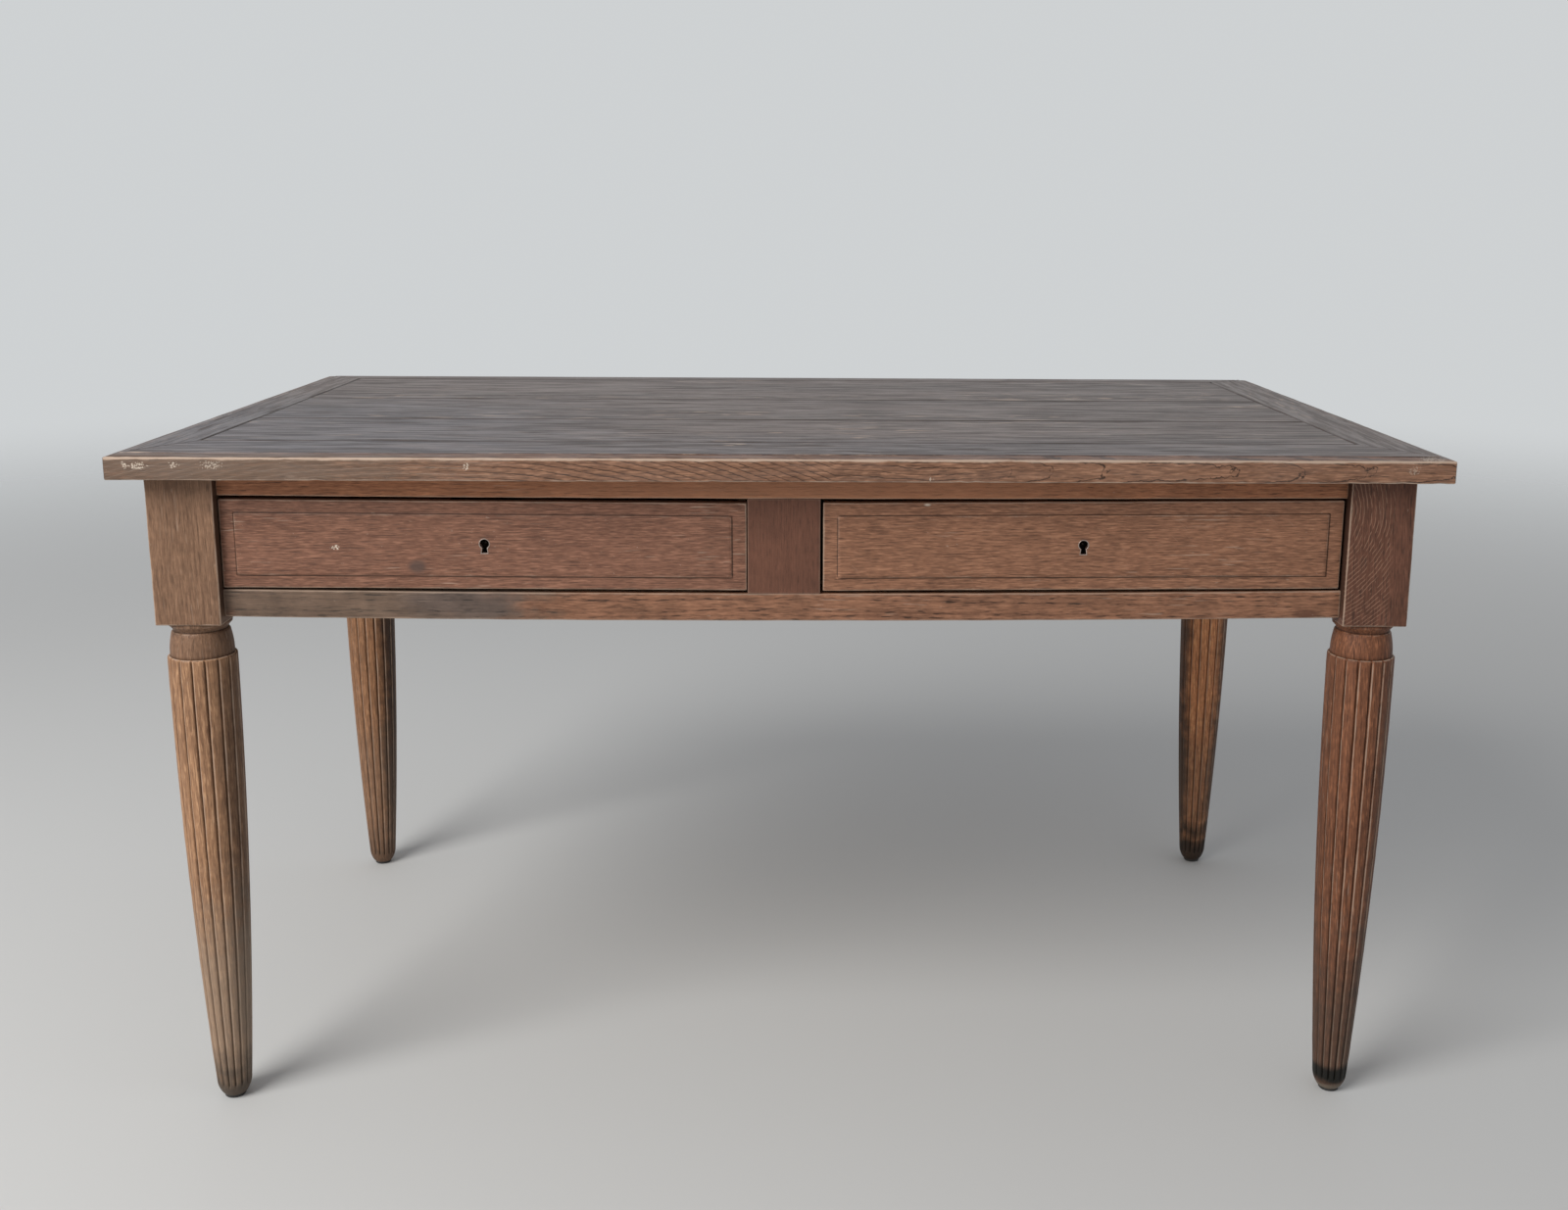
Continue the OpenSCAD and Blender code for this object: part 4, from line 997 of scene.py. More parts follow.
def turned_rows(leg, block_z):
    """Rows of the turning, downwards from the block: height, radius, share of the groove, wear
    and painted shade and dirt"""
    rows = []

    def row(z, radius, opened=0.0, worn=0.0, dirt=0.0):
        rows.append((z, radius, opened, worn, dirt))

    collar, cove = leg.collar_diameter / 2, leg.groove_diameter / 2
    row(block_z + 0.004, collar - 0.004)
    row(block_z + 0.0002, collar - 0.0005, dirt=0.8)
    row(block_z - 0.0004, collar, worn=0.2, dirt=0.5)
    row(block_z - leg.collar_height * 0.2, collar, worn=0.2, dirt=0.1)
    row(block_z - leg.collar_height * 0.38, collar - 0.0002, worn=0.6)
    for i, a in enumerate(quarter(6)[1:], 1):
        row(block_z - leg.collar_height * (0.42 + 0.48 * math.sin(a)),
            cove + (collar - 0.0008 - cove) * (1 - math.sin(a)) ** 1.3,
            worn=0.2 if i < 2 else 0.0, dirt=i / 14)
    neck_z = block_z - leg.collar_height
    crown, neck = leg.neck_crown / 2, leg.neck_diameter / 2
    row(neck_z + 0.0006, cove - 0.0004, dirt=0.9)
    row(neck_z + 0.0001, cove - 0.0004, dirt=0.8)
    row(neck_z - 0.0002, crown - 0.0014, worn=0.3, dirt=0.2)
    row(neck_z - 0.0008, crown - 0.0004, worn=0.7)
    for s in (0.07, 0.13, 0.2, 0.3, 0.42, 0.55, 0.7, 0.85, 0.985):
        swell = math.sin(math.pi / 2 * min(s * 1.15, 1.0))
        row(neck_z - leg.neck_height * s, blend(crown, neck, swell),
            worn=0.1 if s < 0.1 else 0.0, dirt=0.3 if s > 0.95 else 0.0)
    rim_z = neck_z - leg.neck_height
    row(rim_z, neck - 0.0004, dirt=0.9)
    shaft, r = leg.shaft_diameter / 2, leg.shoulder
    for s, worn in ((0.1, 1.0), (0.3, 0.9), (0.5, 0.6), (0.75, 0.3), (1.0, 0.1)):
        a = math.pi / 2 * s
        row(rim_z - r * (1 - math.cos(a)), shaft - r * (1 - math.sin(a)), 0.8 * s ** 2, worn)
    top_z = rim_z - r - 0.0006
    foot_z = GLIDE_TOP_Z + leg.foot_height
    for s in [0.0, 0.005, 0.012] + [0.02 + 0.98 * i / SHAFT_CUTS for i in range(SHAFT_CUTS + 1)]:
        taper = (leg.shaft_diameter - leg.ankle_diameter) * s * s
        row(blend(top_z, foot_z, s), shaft - taper / 2, 0.8 + 0.2 * smooth(s, 0.0, 0.012))
    for s, wide, opened in ((0.1, 0.97, 0.7), (0.18, 0.94, 0.3), (0.3, 0.88, 0.08),
                            (0.45, 0.76, 0.0), (0.6, 0.62, 0.0), (0.75, 0.44, 0.0),
                            (0.88, 0.24, 0.0), (1.0, 0.0, 0.0)):
        row(foot_z - leg.foot_height * s,
            blend(leg.foot_diameter, leg.ankle_diameter, wide) / 2, opened, 0.1)
    return rows


def turning(bm, leg, centre, block_z):
    """Collar, neck, reeded shaft and foot as one closed skin; returns its vertices"""
    before = set(bm.verts)
    per = len(stave_points(1.0, leg))
    wear = bm.verts.layers.float[WEAR]
    grime = bm.verts.layers.float[GRIME]
    made = bmesh.ops.create_circle(bm, cap_ends=True, segments=leg.staves * per, radius=1.0)
    loop = sorted(made["verts"], key=lambda v: math.atan2(v.co.y, v.co.x) % math.tau)
    turn = math.tau / leg.staves
    for index, (z, r, opened, worn, dirty) in enumerate(turned_rows(leg, block_z)):
        if index:
            edges = [bm.edges.get((a, b)) for a, b in zip(loop, loop[1:] + loop[:1])]
            grown = bmesh.ops.extrude_edge_only(bm, edges=edges)["geom"]
            fresh = {v for v in grown if isinstance(v, bmesh.types.BMVert)}
            loop = [next(e.other_vert(v) for e in v.link_edges if e.other_vert(v) in fresh)
                    for v in loop]
        points = stave_points(turn * r, leg)
        for i, v in enumerate(loop):
            across, depth, edge, dirt = points[i % per]
            a = (i // per + across) * turn
            out = r - leg.groove_depth * opened * depth
            v.co = Vector((centre.x + out * math.cos(a), centre.y + out * math.sin(a), z))
            v[wear] = max(worn * (1 - depth), edge * smooth(opened, 0.3, 1.0))
            # Painted shade and dirt in the groove bottoms, under the collar and at the neck
            v[grime] = max(dirty, dirt * opened)
    bmesh.ops.contextual_create(bm, geom=loop)
    return [v for v in bm.verts if v not in before]


def leg_centre(sx, sy):
    half = settings().leg.block_width / 2
    return Vector((sx * (BLOCK_IN_X + half), sy * (BLOCK_IN_Y + half), 0.0))


def leg_piece(name, sx, sy, material):
    leg = settings().leg
    half = leg.block_width / 2
    centre = leg_centre(sx, sy)
    block_z = APRON_Z - leg.block_drop
    low = centre + Vector((-half, -half, block_z))
    high = centre + Vector((half, half, SLAB_Z))
    bm = timber_mesh()
    block = worn_box(bm, low, high, leg.arris, WEAR_REACH, SHORT_PITCH, 2)
    inner_x = high.x if sx < 0 else low.x

    # Painted shade and dirt on the block's inner face, in the angle beside the drawer front
    def grime_of(co):
        beside = abs(co.x - inner_x) < WELD * 10 and co.y > low.y + 2 * leg.arris
        return ANGLE_DIRT if sy < 0 and beside and co.z > APRON_Z - leg.arris else 0.0

    mark(bm, block, box_wear(low, high, WEAR_REACH), grime_of)
    weather(bm, block, pitch=BLOCK_DRIFT_PITCH)
    weather(bm, turning(bm, leg, centre, block_z), pitch=SHAFT_DRIFT_PITCH)
    finish_piece(bm, f"{name}_turned", "frame", [name], "body_oak", material)


# Drawer fronts

def lock_steel():
    finish = settings().finish
    return metal("Blackened steel", finish.black_steel, shaded(finish.rust, 0.4), 0.55, 0.7)


def key_pin(side):
    """Middle of the pin that a key turns on, and the pin's height"""
    low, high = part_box(f"{side}_key_pin")
    return (low + high) / 2, high.z - low.z


KEYHOLE_SIDES = 24


def keyhole_ring(bm, x, y, z, front, wall):
    """Outline of a keyhole, drawn in by a wall, as a ring of vertices"""
    r = front.keyhole_diameter / 2 - wall
    half = front.keyhole_slot / 2 - wall
    start = math.asin(half / r)
    ring = []
    for i in range(KEYHOLE_SIDES + 1):
        a = -math.pi / 2 + start + (math.tau - 2 * start) * i / KEYHOLE_SIDES
        ring.append(bm.verts.new((x + r * math.cos(a), y, z + r * math.sin(a))))
    foot = z + front.keyhole_diameter / 2 - front.keyhole_height + wall
    wide = half + front.keyhole_flare
    return ring + [bm.verts.new((x - wide, y, foot)), bm.verts.new((x + wide, y, foot))]


def keyhole_cutter(x, y0, y1, z, front):
    """A prism of the keyhole's outline through the drawer front"""
    bm = bmesh.new()
    ring = keyhole_ring(bm, x, y0, z, front, 0.0)
    grow(bm, [bm.faces.new(ring)], (0, y1 - y0, 0))
    bmesh.ops.recalc_face_normals(bm, faces=bm.faces)
    return bm


def keyhole_liner(side, material):
    """The metal liner of a keyhole, with a rubbed and rounded front"""
    front = settings().front
    node = f"{side}_keyhole_liner"
    low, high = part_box(node)
    pin = key_pin(side)[0]
    bm = bmesh.new()
    rings = [keyhole_ring(bm, pin.x, low.y, pin.z, front, wall)
             for wall in (WELD, front.liner_wall)]
    edges = [bm.edges.new((a, b)) for ring in rings for a, b in zip(ring, ring[1:] + ring[:1])]
    bmesh.ops.bridge_loops(bm, edges=edges)
    grow(bm, bm.faces[:], (0, high.y - low.y, 0))
    lip = [e for e in bm.edges if all(v.co.y < low.y + WELD for v in e.verts)
           and any(abs(f.normal.y) < 0.5 for f in e.link_faces)]
    round_edges(bm, lip, front.liner_lip, 2)
    finish_piece(bm, f"{side}_keyhole_ring", f"{side}_drawer", [node], "brass", material)


def cad_cutter(node, room=0.0):
    """A merged copy of a CAD node, larger by some room on every side"""
    bm = bmesh.new()
    bm.from_mesh(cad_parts[node].data)
    bmesh.ops.remove_doubles(bm, verts=bm.verts, dist=MERGE)
    low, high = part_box(node)
    middle = (low + high) / 2
    for v in bm.verts:
        away = v.co - middle
        v.co += Vector([room * away[i] / max((high[i] - low[i]) / 2, WELD) for i in range(3)])
    return bm


def sunk_copy(node, body, drop, floor_z, material):
    """A merged copy of a CAD node with its upper part lowered as far as the wood round it sags"""
    bm = cad_cutter(node)
    for v in bm.verts:
        if v.co.z > floor_z:
            v.co.z -= drop
    finish_piece(bm, f"{node}_sunk", body, [node], "steel", material)


def box_cutter(low, high):
    bm = bmesh.new()
    add_cube(bm, low, high)
    return bm


def bolt_socket(side, front):
    """The room that a bolt takes in the upper rail when it is raised"""
    low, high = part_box(f"{side}_lock_bolt")
    room = Vector((1.0, 1.0, 1.0)) * front.socket_room
    foot = Vector((low.x, low.y, CEILING_Z - 2 * front.upper_sag))
    return box_cutter(foot - room, high + Vector((0, 0, front.bolt_rise)) + room)


def carve(piece, cutters):
    """Cuts solids out of a piece and leaves it a plain mesh"""
    tools = [link_mesh("cutter", bm) for bm in cutters]
    for tool in tools:
        cut = piece.modifiers.new("cut", "BOOLEAN")
        cut.operation = "DIFFERENCE"
        cut.solver = "EXACT"
        cut.object = tool
    graph = bpy.context.evaluated_depsgraph_get()
    result = bpy.data.meshes.new_from_object(piece.evaluated_get(graph))
    piece.modifiers.clear()
    piece.data = result
    for tool in tools:
        bpy.data.objects.remove(tool)


# Wear at the edges of the raised field of a drawer front and how far it reaches, how close to
# the foot of the field its painted shade and dirt lie, and the width of the lines that are cut
# beside it
FIELD_WEAR = 0.9
FIELD_WEAR_REACH = 0.002
CLOSE = 1e-4
FIELD_LINE = 0.0014
# How far a cutter reaches past the wood, and the room round a drawer's sides and over a lock
CUT_OVER = 0.004
SIDE_ROOM = 0.00005
LOCK_ROOM = 0.0003


def drawer_front(side, lift, material):
    """A drawer front with its raised field; lift moves its corners up: lower left, lower right,
    upper left, upper right"""
    front = settings().front
    node = f"{side}_drawer_front"
    low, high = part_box(node)
    low = Vector((low.x, RAIL_Y, low.z))
    width, height = high.x - low.x, high.z - low.z
    bm = timber_mesh()
    worn_box(bm, low, high, front.drawer_arris, WEAR_REACH, SHORT_PITCH, 0)
    ends = (low.x + front.end_border, high.x - front.end_border)
    rows = (low.z + front.field_border, high.z - front.field_border)
    for axis, edges in ((0, ends), (2, rows)):
        for edge, inwards in zip(edges, (FIELD_LINE, -FIELD_LINE)):
            cut_across(bm, axis, (edge, edge - inwards, edge + 3 * inwards))
    cut_across(bm, 2, steps(rows[0], rows[1], SHORT_PITCH))

    def border_share(co):
        across = min((co.x - low.x) / front.end_border, (high.x - co.x) / front.end_border,
                     (co.z - low.z) / front.field_border, (high.z - co.z) / front.field_border)
        return min(max(across, 0.0), 1.0)

    def on_field(face):
        co = face.calc_center_median()
        return (co.y < RAIL_Y - WELD and abs(face.normal.y) > 0.9
                and ends[0] < co.x < ends[1] and rows[0] < co.z < rows[1])

    for v in bm.verts:
        if v.co.y < RAIL_Y + WELD:
            v.co.y -= front.border_fall * border_share(v.co)
    field = [face for face in bm.faces if on_field(face)]
    middle = (low + high) / 2
    for v in grow(bm, field, (0, front.border_fall - front.field_rise, 0)):
        for axis, edges in ((0, ends), (2, rows)):
            if min(abs(v.co[axis] - edge) for edge in edges) < WELD:
                v.co[axis] += math.copysign(front.field_ledge, middle[axis] - v.co[axis])
    near = box_wear(low, high, WEAR_REACH)

    def field_gap(co):
        across = min(abs(co.x - e) for e in ends)
        up = min(abs(co.z - r) for r in rows)
        return min(across if rows[0] <= co.z <= rows[1] else 1.0,
                   up if ends[0] <= co.x <= ends[1] else 1.0)

    step_y = RAIL_Y - (front.border_fall + front.field_rise) / 2

    def wear_of(co):
        worn = FIELD_WEAR * (1 - smooth(field_gap(co), 0.0, FIELD_WEAR_REACH))
        return max(near(co), worn if co.y < step_y else 0.0)

    # Painted shade and dirt in the crease at the foot of the raised field
    def grime_of(co):
        foot = RAIL_Y - front.border_fall
        return 1.0 if abs(co.y - foot) < CLOSE and field_gap(co) < CLOSE else 0.0

    mark(bm, bm.verts, wear_of, grime_of)
    weather(bm, bm.verts, BAR_DRIFT)
    for v in bm.verts:
        u = (v.co.x - low.x) / width
        w = (v.co.z - low.z) / height
        v.co.z += blend(blend(lift[0], lift[1], u), blend(lift[2], lift[3], u), w)
    piece = finish_piece(
        bm, f"{side}_drawer_face", f"{side}_drawer", [node], "body_oak", material)
    case_low, case_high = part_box(f"{side}_lock_case")
    pin, pin_height = key_pin(side)
    carve(piece, [
        keyhole_cutter(pin.x, RAIL_Y - CUT_OVER, high.y + CUT_OVER, pin.z, front),
        cad_cutter(f"{side}_drawer_left_side", SIDE_ROOM),
        cad_cutter(f"{side}_drawer_right_side", SIDE_ROOM),
        box_cutter(case_low, case_high + Vector((0, CUT_OVER, CUT_OVER * 2))),
    ])
    drop = LOCK_ROOM - blend(lift[2], lift[3], (pin.x - low.x) / width)
    for part, body in (("case", "drawer"), ("screws", "drawer"), ("bolt", "bolt")):
        sunk_copy(f"{side}_lock_{part}", f"{side}_{body}", drop, pin.z + pin_height,
                  lock_steel())


# Figures: each draws more on the tone of an oak material

# Where a cool sheen is painted on the top: x, y, reach along, reach across, amount
BLOOMS = ((-0.55, -0.20, 0.45, 0.45, 0.40), (0.10, -0.36, 0.90, 0.16, 0.22))


def worn_figure(g, place, along, tone, timber, marked=1.0):
    """A cool sheen painted at the left and the front, streaks, cracks and scratches over it, which
    marked makes weaker or stronger, and painted shade along the joints"""
    finish = settings().finish
    # Painted sheen: cool patches at the left and the front of the top
    tone = stained(g, place, tone, [
        spot((x, y, TOP_Z), (reach_x, reach_y, 0.2), amount, finish.bloom)
        for x, y, reach_x, reach_y, amount in BLOOMS])
    marks = g.use(board_marks, place=along, tone=tone, dirt=finish.pore, bare=finish.bare,
                  marked=marked)
    tone, wax = marks["Color"], marks["Wax"]
    x, y, _ = g.split(place)
    # Painted shade: a dark band along each plank joint, broken in patches, standing in for the
    # shade in the V of the joint
    filled = g.ramp(g.noise(place, 9.0, detail=3.0), 0.40, 0.56, 0.25, 1.0)
    filled = filled * g.math("GREATER_THAN", x, FIELD_LOW.x)
    filled = filled * g.math("LESS_THAN", x, FIELD_HIGH.x) * g.ramp(x, -0.2, 0.1, 0.45, 0.95)
    for joint_y in JOINTS_Y:
        dirt = g.fade(abs(y - joint_y), 0.0034, 0.0085) * filled
        tone = g.mix(dirt, tone, finish.pore)
        wax = wax * (1.0 - dirt)
    timber["Wax"] = wax
    return tone


def clouded(amount, pitch):
    """A figure of cloudy patches, as hands and polish leave them: strength and patches a metre"""
    def figure(g, place, along, tone, timber):
        cloud = g.noise(place, pitch, pitch, pitch * 1.6, detail=5.0, roughness=0.65)
        return g.gain(tone, (cloud - 0.5) * amount + 1.0)

    return figure


def stained_under(spots, amount, pitch):
    """A figure of stains with the grain and clouds still showing through them"""
    def figure(g, place, along, tone, timber):
        tone = g.gain(stained(g, place, tone, spots), (timber["Height"] - 0.6) * 0.45 + 1.0)
        return clouded(amount, pitch)(g, place, along, tone, timber)

    return figure


def knocked(g, place, along, tone, timber):
    """The left drawer front, with a chipped knock"""
    tone = clouded(0.55, 22.0)(g, place, along, tone, timber)
    return g.over(specks, place, tone, middle=(-0.4805, RAIL_Y, 0.6515),
                  reach=(0.007, 0.02, 0.006), amount=0.95, tint=settings().finish.chip)


def flecked(g, place, along, tone, timber):
    """The right drawer front, with pale flecks in patches that slope down to the right"""
    turned = g.map(place, (0.0, -0.30, 0.0), scale=(2.4, 1.0, 0.8))
    tone = clouded(0.55, 22.0)(g, place, along, tone, timber)
    return g.over(scuffs, turned, tone, amount=0.32, tint=settings().finish.ray)


# Operators

def top_material(name, axis, pith, figure, edge=0.95):
    """Dark waxed oak; edge is the wear of its arrises"""
    return oak(
        name, "top", axis=axis, centre=(0, -0.4, 0.74), pith=pith, tilt=(0.0, 0.010, 0.022),
        rough=0.5, edge=edge, scuff=0.3, bump=0.5, wax=0.44, figure=figure, spacing=0.0062,
        rings=0.15, streaks=0.8, patches=0.8, fibres=1.0, dashes=1.0, pores=0.5, warp=0.02)


# Where the growth lines of each edge turn, where their knot lies, how strongly they bend and
# how far their board is shifted along them
EDGE_FIGURES = {
    "front": (-0.38, 0.05, 0.50, 0.0), "right": (0.10, 0.22, 0.90, 0.3),
    "back": (-0.10, 0.45, 0.30, 0.8), "left": (-0.25, 0.05, 0.80, 0.5),
}

# Places along the front edge that are greyed or chipped: x, height, reach along, reach up,
# amount and whether they are chips
FRONT_SPOTS = (
    (-0.60, 0.742, 0.36, 0.060, 0.72, False), (-0.678, 0.746, 0.005, 0.007, 0.9, True),
    (-0.664, 0.745, 0.015, 0.007, 0.9, True), (-0.628, 0.746, 0.009, 0.006, 0.8, True),
    (-0.590, 0.746, 0.020, 0.008, 0.5, True), (-0.330, 0.745, 0.006, 0.007, 0.8, True),
    (0.655, 0.744, 0.012, 0.008, 0.3, True), (0.675, 0.755, 0.022, 0.004, 0.8, True),
    (0.150, 0.734, 0.006, 0.004, 0.5, True),
)


def board_material(side, index):
    """Dark waxed oak above, and redder, lighter oak with strong growth lines on the edges"""
    top = settings().top
    axis = "X" if side in ("front", "back") else "Y"
    turn, knot, bend, shift = EDGE_FIGURES[side]
    marked, rubbed, edge = (1.0, 0.55, 0.95) if side == "front" else (0.45, 0.15, 0.30)
    band_z = TOP_Z - top.rim_step
    edge_z = band_z - top.rim_fall

    def figure(g, place, along, tone, timber):
        finish = settings().finish
        tone = worn_figure(g, place, along, tone, timber, marked)
        rim = g.use(oak_grain, place=along, **tones("rim"), rings=0.0, streaks=0.3, fibres=1.2,
                    dashes=1.8, patches=0.9, flecks=0.5)["Color"]
        rim = g.over(growth_lines, g.map(place, GRAIN_TURN[axis], (shift, 0, 0)), rim,
                     line=shaded(finish.rim_dark, 0.36), bare=finish.bare,
                     middle=(SLAB_Z + edge_z) / 2, bend=bend, turn=turn, knot=knot)
        for x, z, reach_x, reach_z, amount, chipped in FRONT_SPOTS if side == "front" else ():
            rim = g.over(specks if chipped else stain, place, rim, middle=(x, TABLE_LOW[1], z),
                         reach=(reach_x, 0.05, reach_z), amount=amount,
                         tint=finish.chip if chipped else finish.grey)
        height = g.split(place)[2]
        tone = g.mix(g.ramp(height, band_z, band_z + top.rim_step / 2, rubbed, 0.0), tone, rim)
        return g.mix(g.fade(height, edge_z - 0.0004, edge_z + 0.0003), tone, rim)

    return top_material(
        f"Top frame {side}", axis, (0.11 * index, 0.075 + 0.02 * index, 0.06), figure, edge)


def inner_material():
    return oak("Inner wood", "inner", axis="Y", pith=(0.0, 0.2, 0.11), rough=0.7, edge=0.0,
               scuff=0.1, bump=0.25, spacing=0.005, rings=0.35)


class OAK_OT_top(bpy.types.Operator):
    """Mitred frame and field planks of the top, with their worn rim"""

    bl_idname = "oak_table.top"
    bl_label = "Top"

    def execute(self, context):
        for index, side in enumerate(SIDES):
            frame_board(side, board_material(side, index))
        edges = (FIELD_LOW.y, *JOINTS_Y, FIELD_HIGH.y)
        for index, node in enumerate(("front_plank", "middle_plank", "back_plank")):
            pith = (0.37 * index, 0.05 - 0.16 * index, 0.085 + 0.03 * index)
            plank(node, edges[index], edges[index + 1],
                  top_material(f"Top {node}", "X", pith, worn_figure))
        dress("mitre_splines", inner_material())
        return {"FINISHED"}


# Side of each leg to the left or right and to the front or back; woods of its block and of its
# shaft; the shade painted on the sides of the shaft, as side, amount and reach; and what its
# foot has soaked up: height, reach up, amount, colour, and where the edge starts and ends
LEG_LOOKS = {
    "front_left_leg": (-1, -1, "post", "tan", ((1, 0.60, 0.34),), (
        (0.10, 0.22, 0.55, (0.300, 0.232, 0.172)),
        (0.00, 0.075, 0.85, (0.052, 0.042, 0.033)))),
    "front_right_leg": (1, -1, "umber", "shaft", ((1, 0.50, 0.40), (-1, 0.30, 0.20)), (
        (0.05, 0.22, 0.62, (0.046, 0.038, 0.030)),
        (0.0245, 0.014, 1.00, (0.009, 0.008, 0.006), 0.75, 1.45),
        (0.003, 0.012, 0.88, (0.170, 0.135, 0.100), 0.85, 1.25))),
    "back_left_leg": (-1, 1, "post", "hazel", ((1, 0.90, 0.38),), (
        (0.10, 0.20, 0.30, (0.200, 0.140, 0.100)),
        (0.00, 0.080, 0.60, (0.060, 0.040, 0.028)))),
    # This shaft's tones are painted light against the top's shadow, and its sides carry painted
    # shade
    "back_right_leg": (1, 1, "umber", "ember", ((1, 0.90, 0.42), (-1, 0.90, 0.30)), (
        (0.12, 0.16, 0.50, (0.090, 0.060, 0.042)),
        (0.00, 0.110, 0.95, (0.020, 0.015, 0.011), 0.60, 1.30))),
}


def leg_material(name, index):
    """Oak that greys or darkens towards the foot; the right post has curved rays"""
    finish = settings().finish
    leg = settings().leg
    sx, sy, block, shaft, sides, soaked = LEG_LOOKS[name]
    centre = leg_centre(sx, sy)
    left = sx < 0
    change_z = APRON_Z - leg.block_drop
    if left:
        change_z -= leg.collar_height + leg.neck_height
    pores = 0.35 if left else 0.6

    def figure(g, place, along, tone, timber):
        turned = g.use(oak_grain, place=along, **tones(shaft), rings=0.15, fibres=1.7,
                       streaks=0.5, dashes=1.0, patches=0.6, flecks=0.5,
                       pores=pores * 0.8)["Color"]
        if sy < 0 and not left:
            arcs = (centre.x - 0.092, centre.y - leg.block_width / 2, 0.695)
            tone = g.over(ray_arcs, place, tone, tint=finish.ray, centre=arcs, reach=0.098)
        height = g.split(place)[2]
        tone = g.mix(g.ramp(height, change_z - 0.0005, change_z + 0.0005), turned, tone)
        return clouded(0.5, 90.0)(g, place, along, tone, timber)

    # Painted shade on the sides of each shaft, at two heights
    polish = [spot(centre + Vector((side * leg.shaft_diameter * out, 0, z)),
                   (leg.shaft_diameter * out * reach * 1.8, 0.15, up), amount,
                   finish.old_polish, 0.70, 1.50)
              for side, amount, reach in sides
              for z, out, up in ((0.36, 0.56, 0.32), (0.12, 0.40, 0.20))]
    return oak(
        f"Leg {name}", block, axis="Z", centre=centre,
        pith=(0.23 * index, 0.05 + 0.01 * index, 0.06 if left else -0.07),
        tilt=(0.0, 0.02 if left else 0.05, 0.01), edge=0.6, scuff=0.25, bump=0.45,
        figure=figure, stains=polish,
        soaked=[spot(centre + Vector((0, 0, z)), (0.15, 0.15, reach), *look)
                for z, reach, *look in soaked],
        spacing=0.0042, rings=0.12, streaks=0.35, dashes=1.3, patches=0.6, pores=pores)


class OAK_OT_legs(bpy.types.Operator):
    """Four legs with their blocks, turned necks, reeded shafts and feet"""

    bl_idname = "oak_table.legs"
    bl_label = "Legs"

    def execute(self, context):
        for index, (name, look) in enumerate(LEG_LOOKS.items()):
            leg_piece(name, look[0], look[1], leg_material(name, index))
        return {"FINISHED"}


class OAK_OT_frame(bpy.types.Operator):
    """Rails, stile and aprons under the top"""

    bl_idname = "oak_table.frame"
    bl_label = "Rails and Aprons"

    def execute(self, context):
        front = settings().front
        finish = settings().finish
        width = (-BLOCK_IN_X, BLOCK_IN_X)

        def bow(sag):
            return lambda co: co - Vector((
                0, 0, sag * (1 - min(abs(co.x) / BLOCK_IN_X, 1.0) ** 2)))

        def between(co):
            w = (co.z - FLOOR_Z) / (CEILING_Z - FLOOR_Z)
            return co - Vector((0, 0, blend(front.lower_sag, front.upper_sag, w)))

        # A lighter middle on the upper rail: partly wear, partly painted light against the
        # overhang's shadow
        worn_middle = spot((0.02, RAIL_Y, 0.72), (0.46, 0.2, 0.1), 0.55, (0.48, 0.225, 0.122))
        material = oak(
            "Upper rail", "russet", pith=(0.2, 0.42, -0.62), tilt=(0, 0.004, 0.01), edge=0.45,
            stains=[worn_middle], figure=clouded(0.8, 26.0), spacing=0.0032, rings=0.15)
        rail = bar("upper_rail_worn", "upper_front_rail", 0, width, front.arris, material,
                   bow(front.upper_sag))
        carve(rail, [bolt_socket(side, front) for side in ("left", "right")])
        grey_end = spot((-0.46, RAIL_Y, 0.59), (0.29, 0.2, 0.2), 0.85, finish.grey, 0.80, 1.15)
        smudge = spot((-0.345, RAIL_Y, 0.592), (0.125, 0.05, 0.045), 0.75,
                      (0.098, 0.071, 0.060), 0.60, 1.15)
        knot = spot((0.566, RAIL_Y, 0.579), (0.024, 0.05, 0.009), 0.7, finish.umber_dark,
                    0.60, 1.10)
        material = oak(
            "Lower rail", "amber", 0.91, pith=(0.5, 0.45, -0.49), tilt=(0, 0.006, 0.012),
            edge=0.45, figure=stained_under([grey_end, smudge, knot], 1.3, 34.0),
            spacing=0.0046, rings=0.2, patches=1.0, rays=0.2)
        bar("lower_rail_worn", "lower_front_rail", 0, width, front.arris, material,
            bow(front.lower_sag))
        material = oak(
            "Stile", "umber", axis="Z", centre=(0, RAIL_Y, 0.6), pith=(0.1, 0.03, 0.30),
            edge=0.15, scuff=0.05, bump=0.2, figure=clouded(0.6, 24.0), spacing=0.0020,
            rings=0.1, fibres=0.7, flecks=0.1, dashes=0.6, streaks=0.3, patches=0.9, pores=0.4,
            rays=0.1)
        bar("stile_worn", "centre_stile", 2, (FLOOR_Z, CEILING_Z), front.stile_arris, material,
            between, STILE_DRIFT)
        for sx, side, wood in ((-1, "left", "post"), (1, "right", "rose")):
            material = oak(
                f"Apron {side}", wood, axis="Y", centre=(sx * 0.65, 0, 0.65),
                pith=(0.3, 0.05, 0.10 * sx), tilt=(0, 0.006, 0.02), edge=0.5, spacing=0.0050)
            bar(f"{side}_apron_worn", f"{side}_apron", 1, (-BLOCK_IN_Y, BLOCK_IN_Y),
                front.arris, material)
        material = oak(
            "Apron back", "post", centre=(0, 0.35, 0.65), pith=(0.1, 0.12, 0.05),
            tilt=(0, 0.008, 0.015), edge=0.5, spacing=0.0052)
        bar("back_apron_worn", "back_apron", 0, width, front.arris, material)
        return {"FINISHED"}


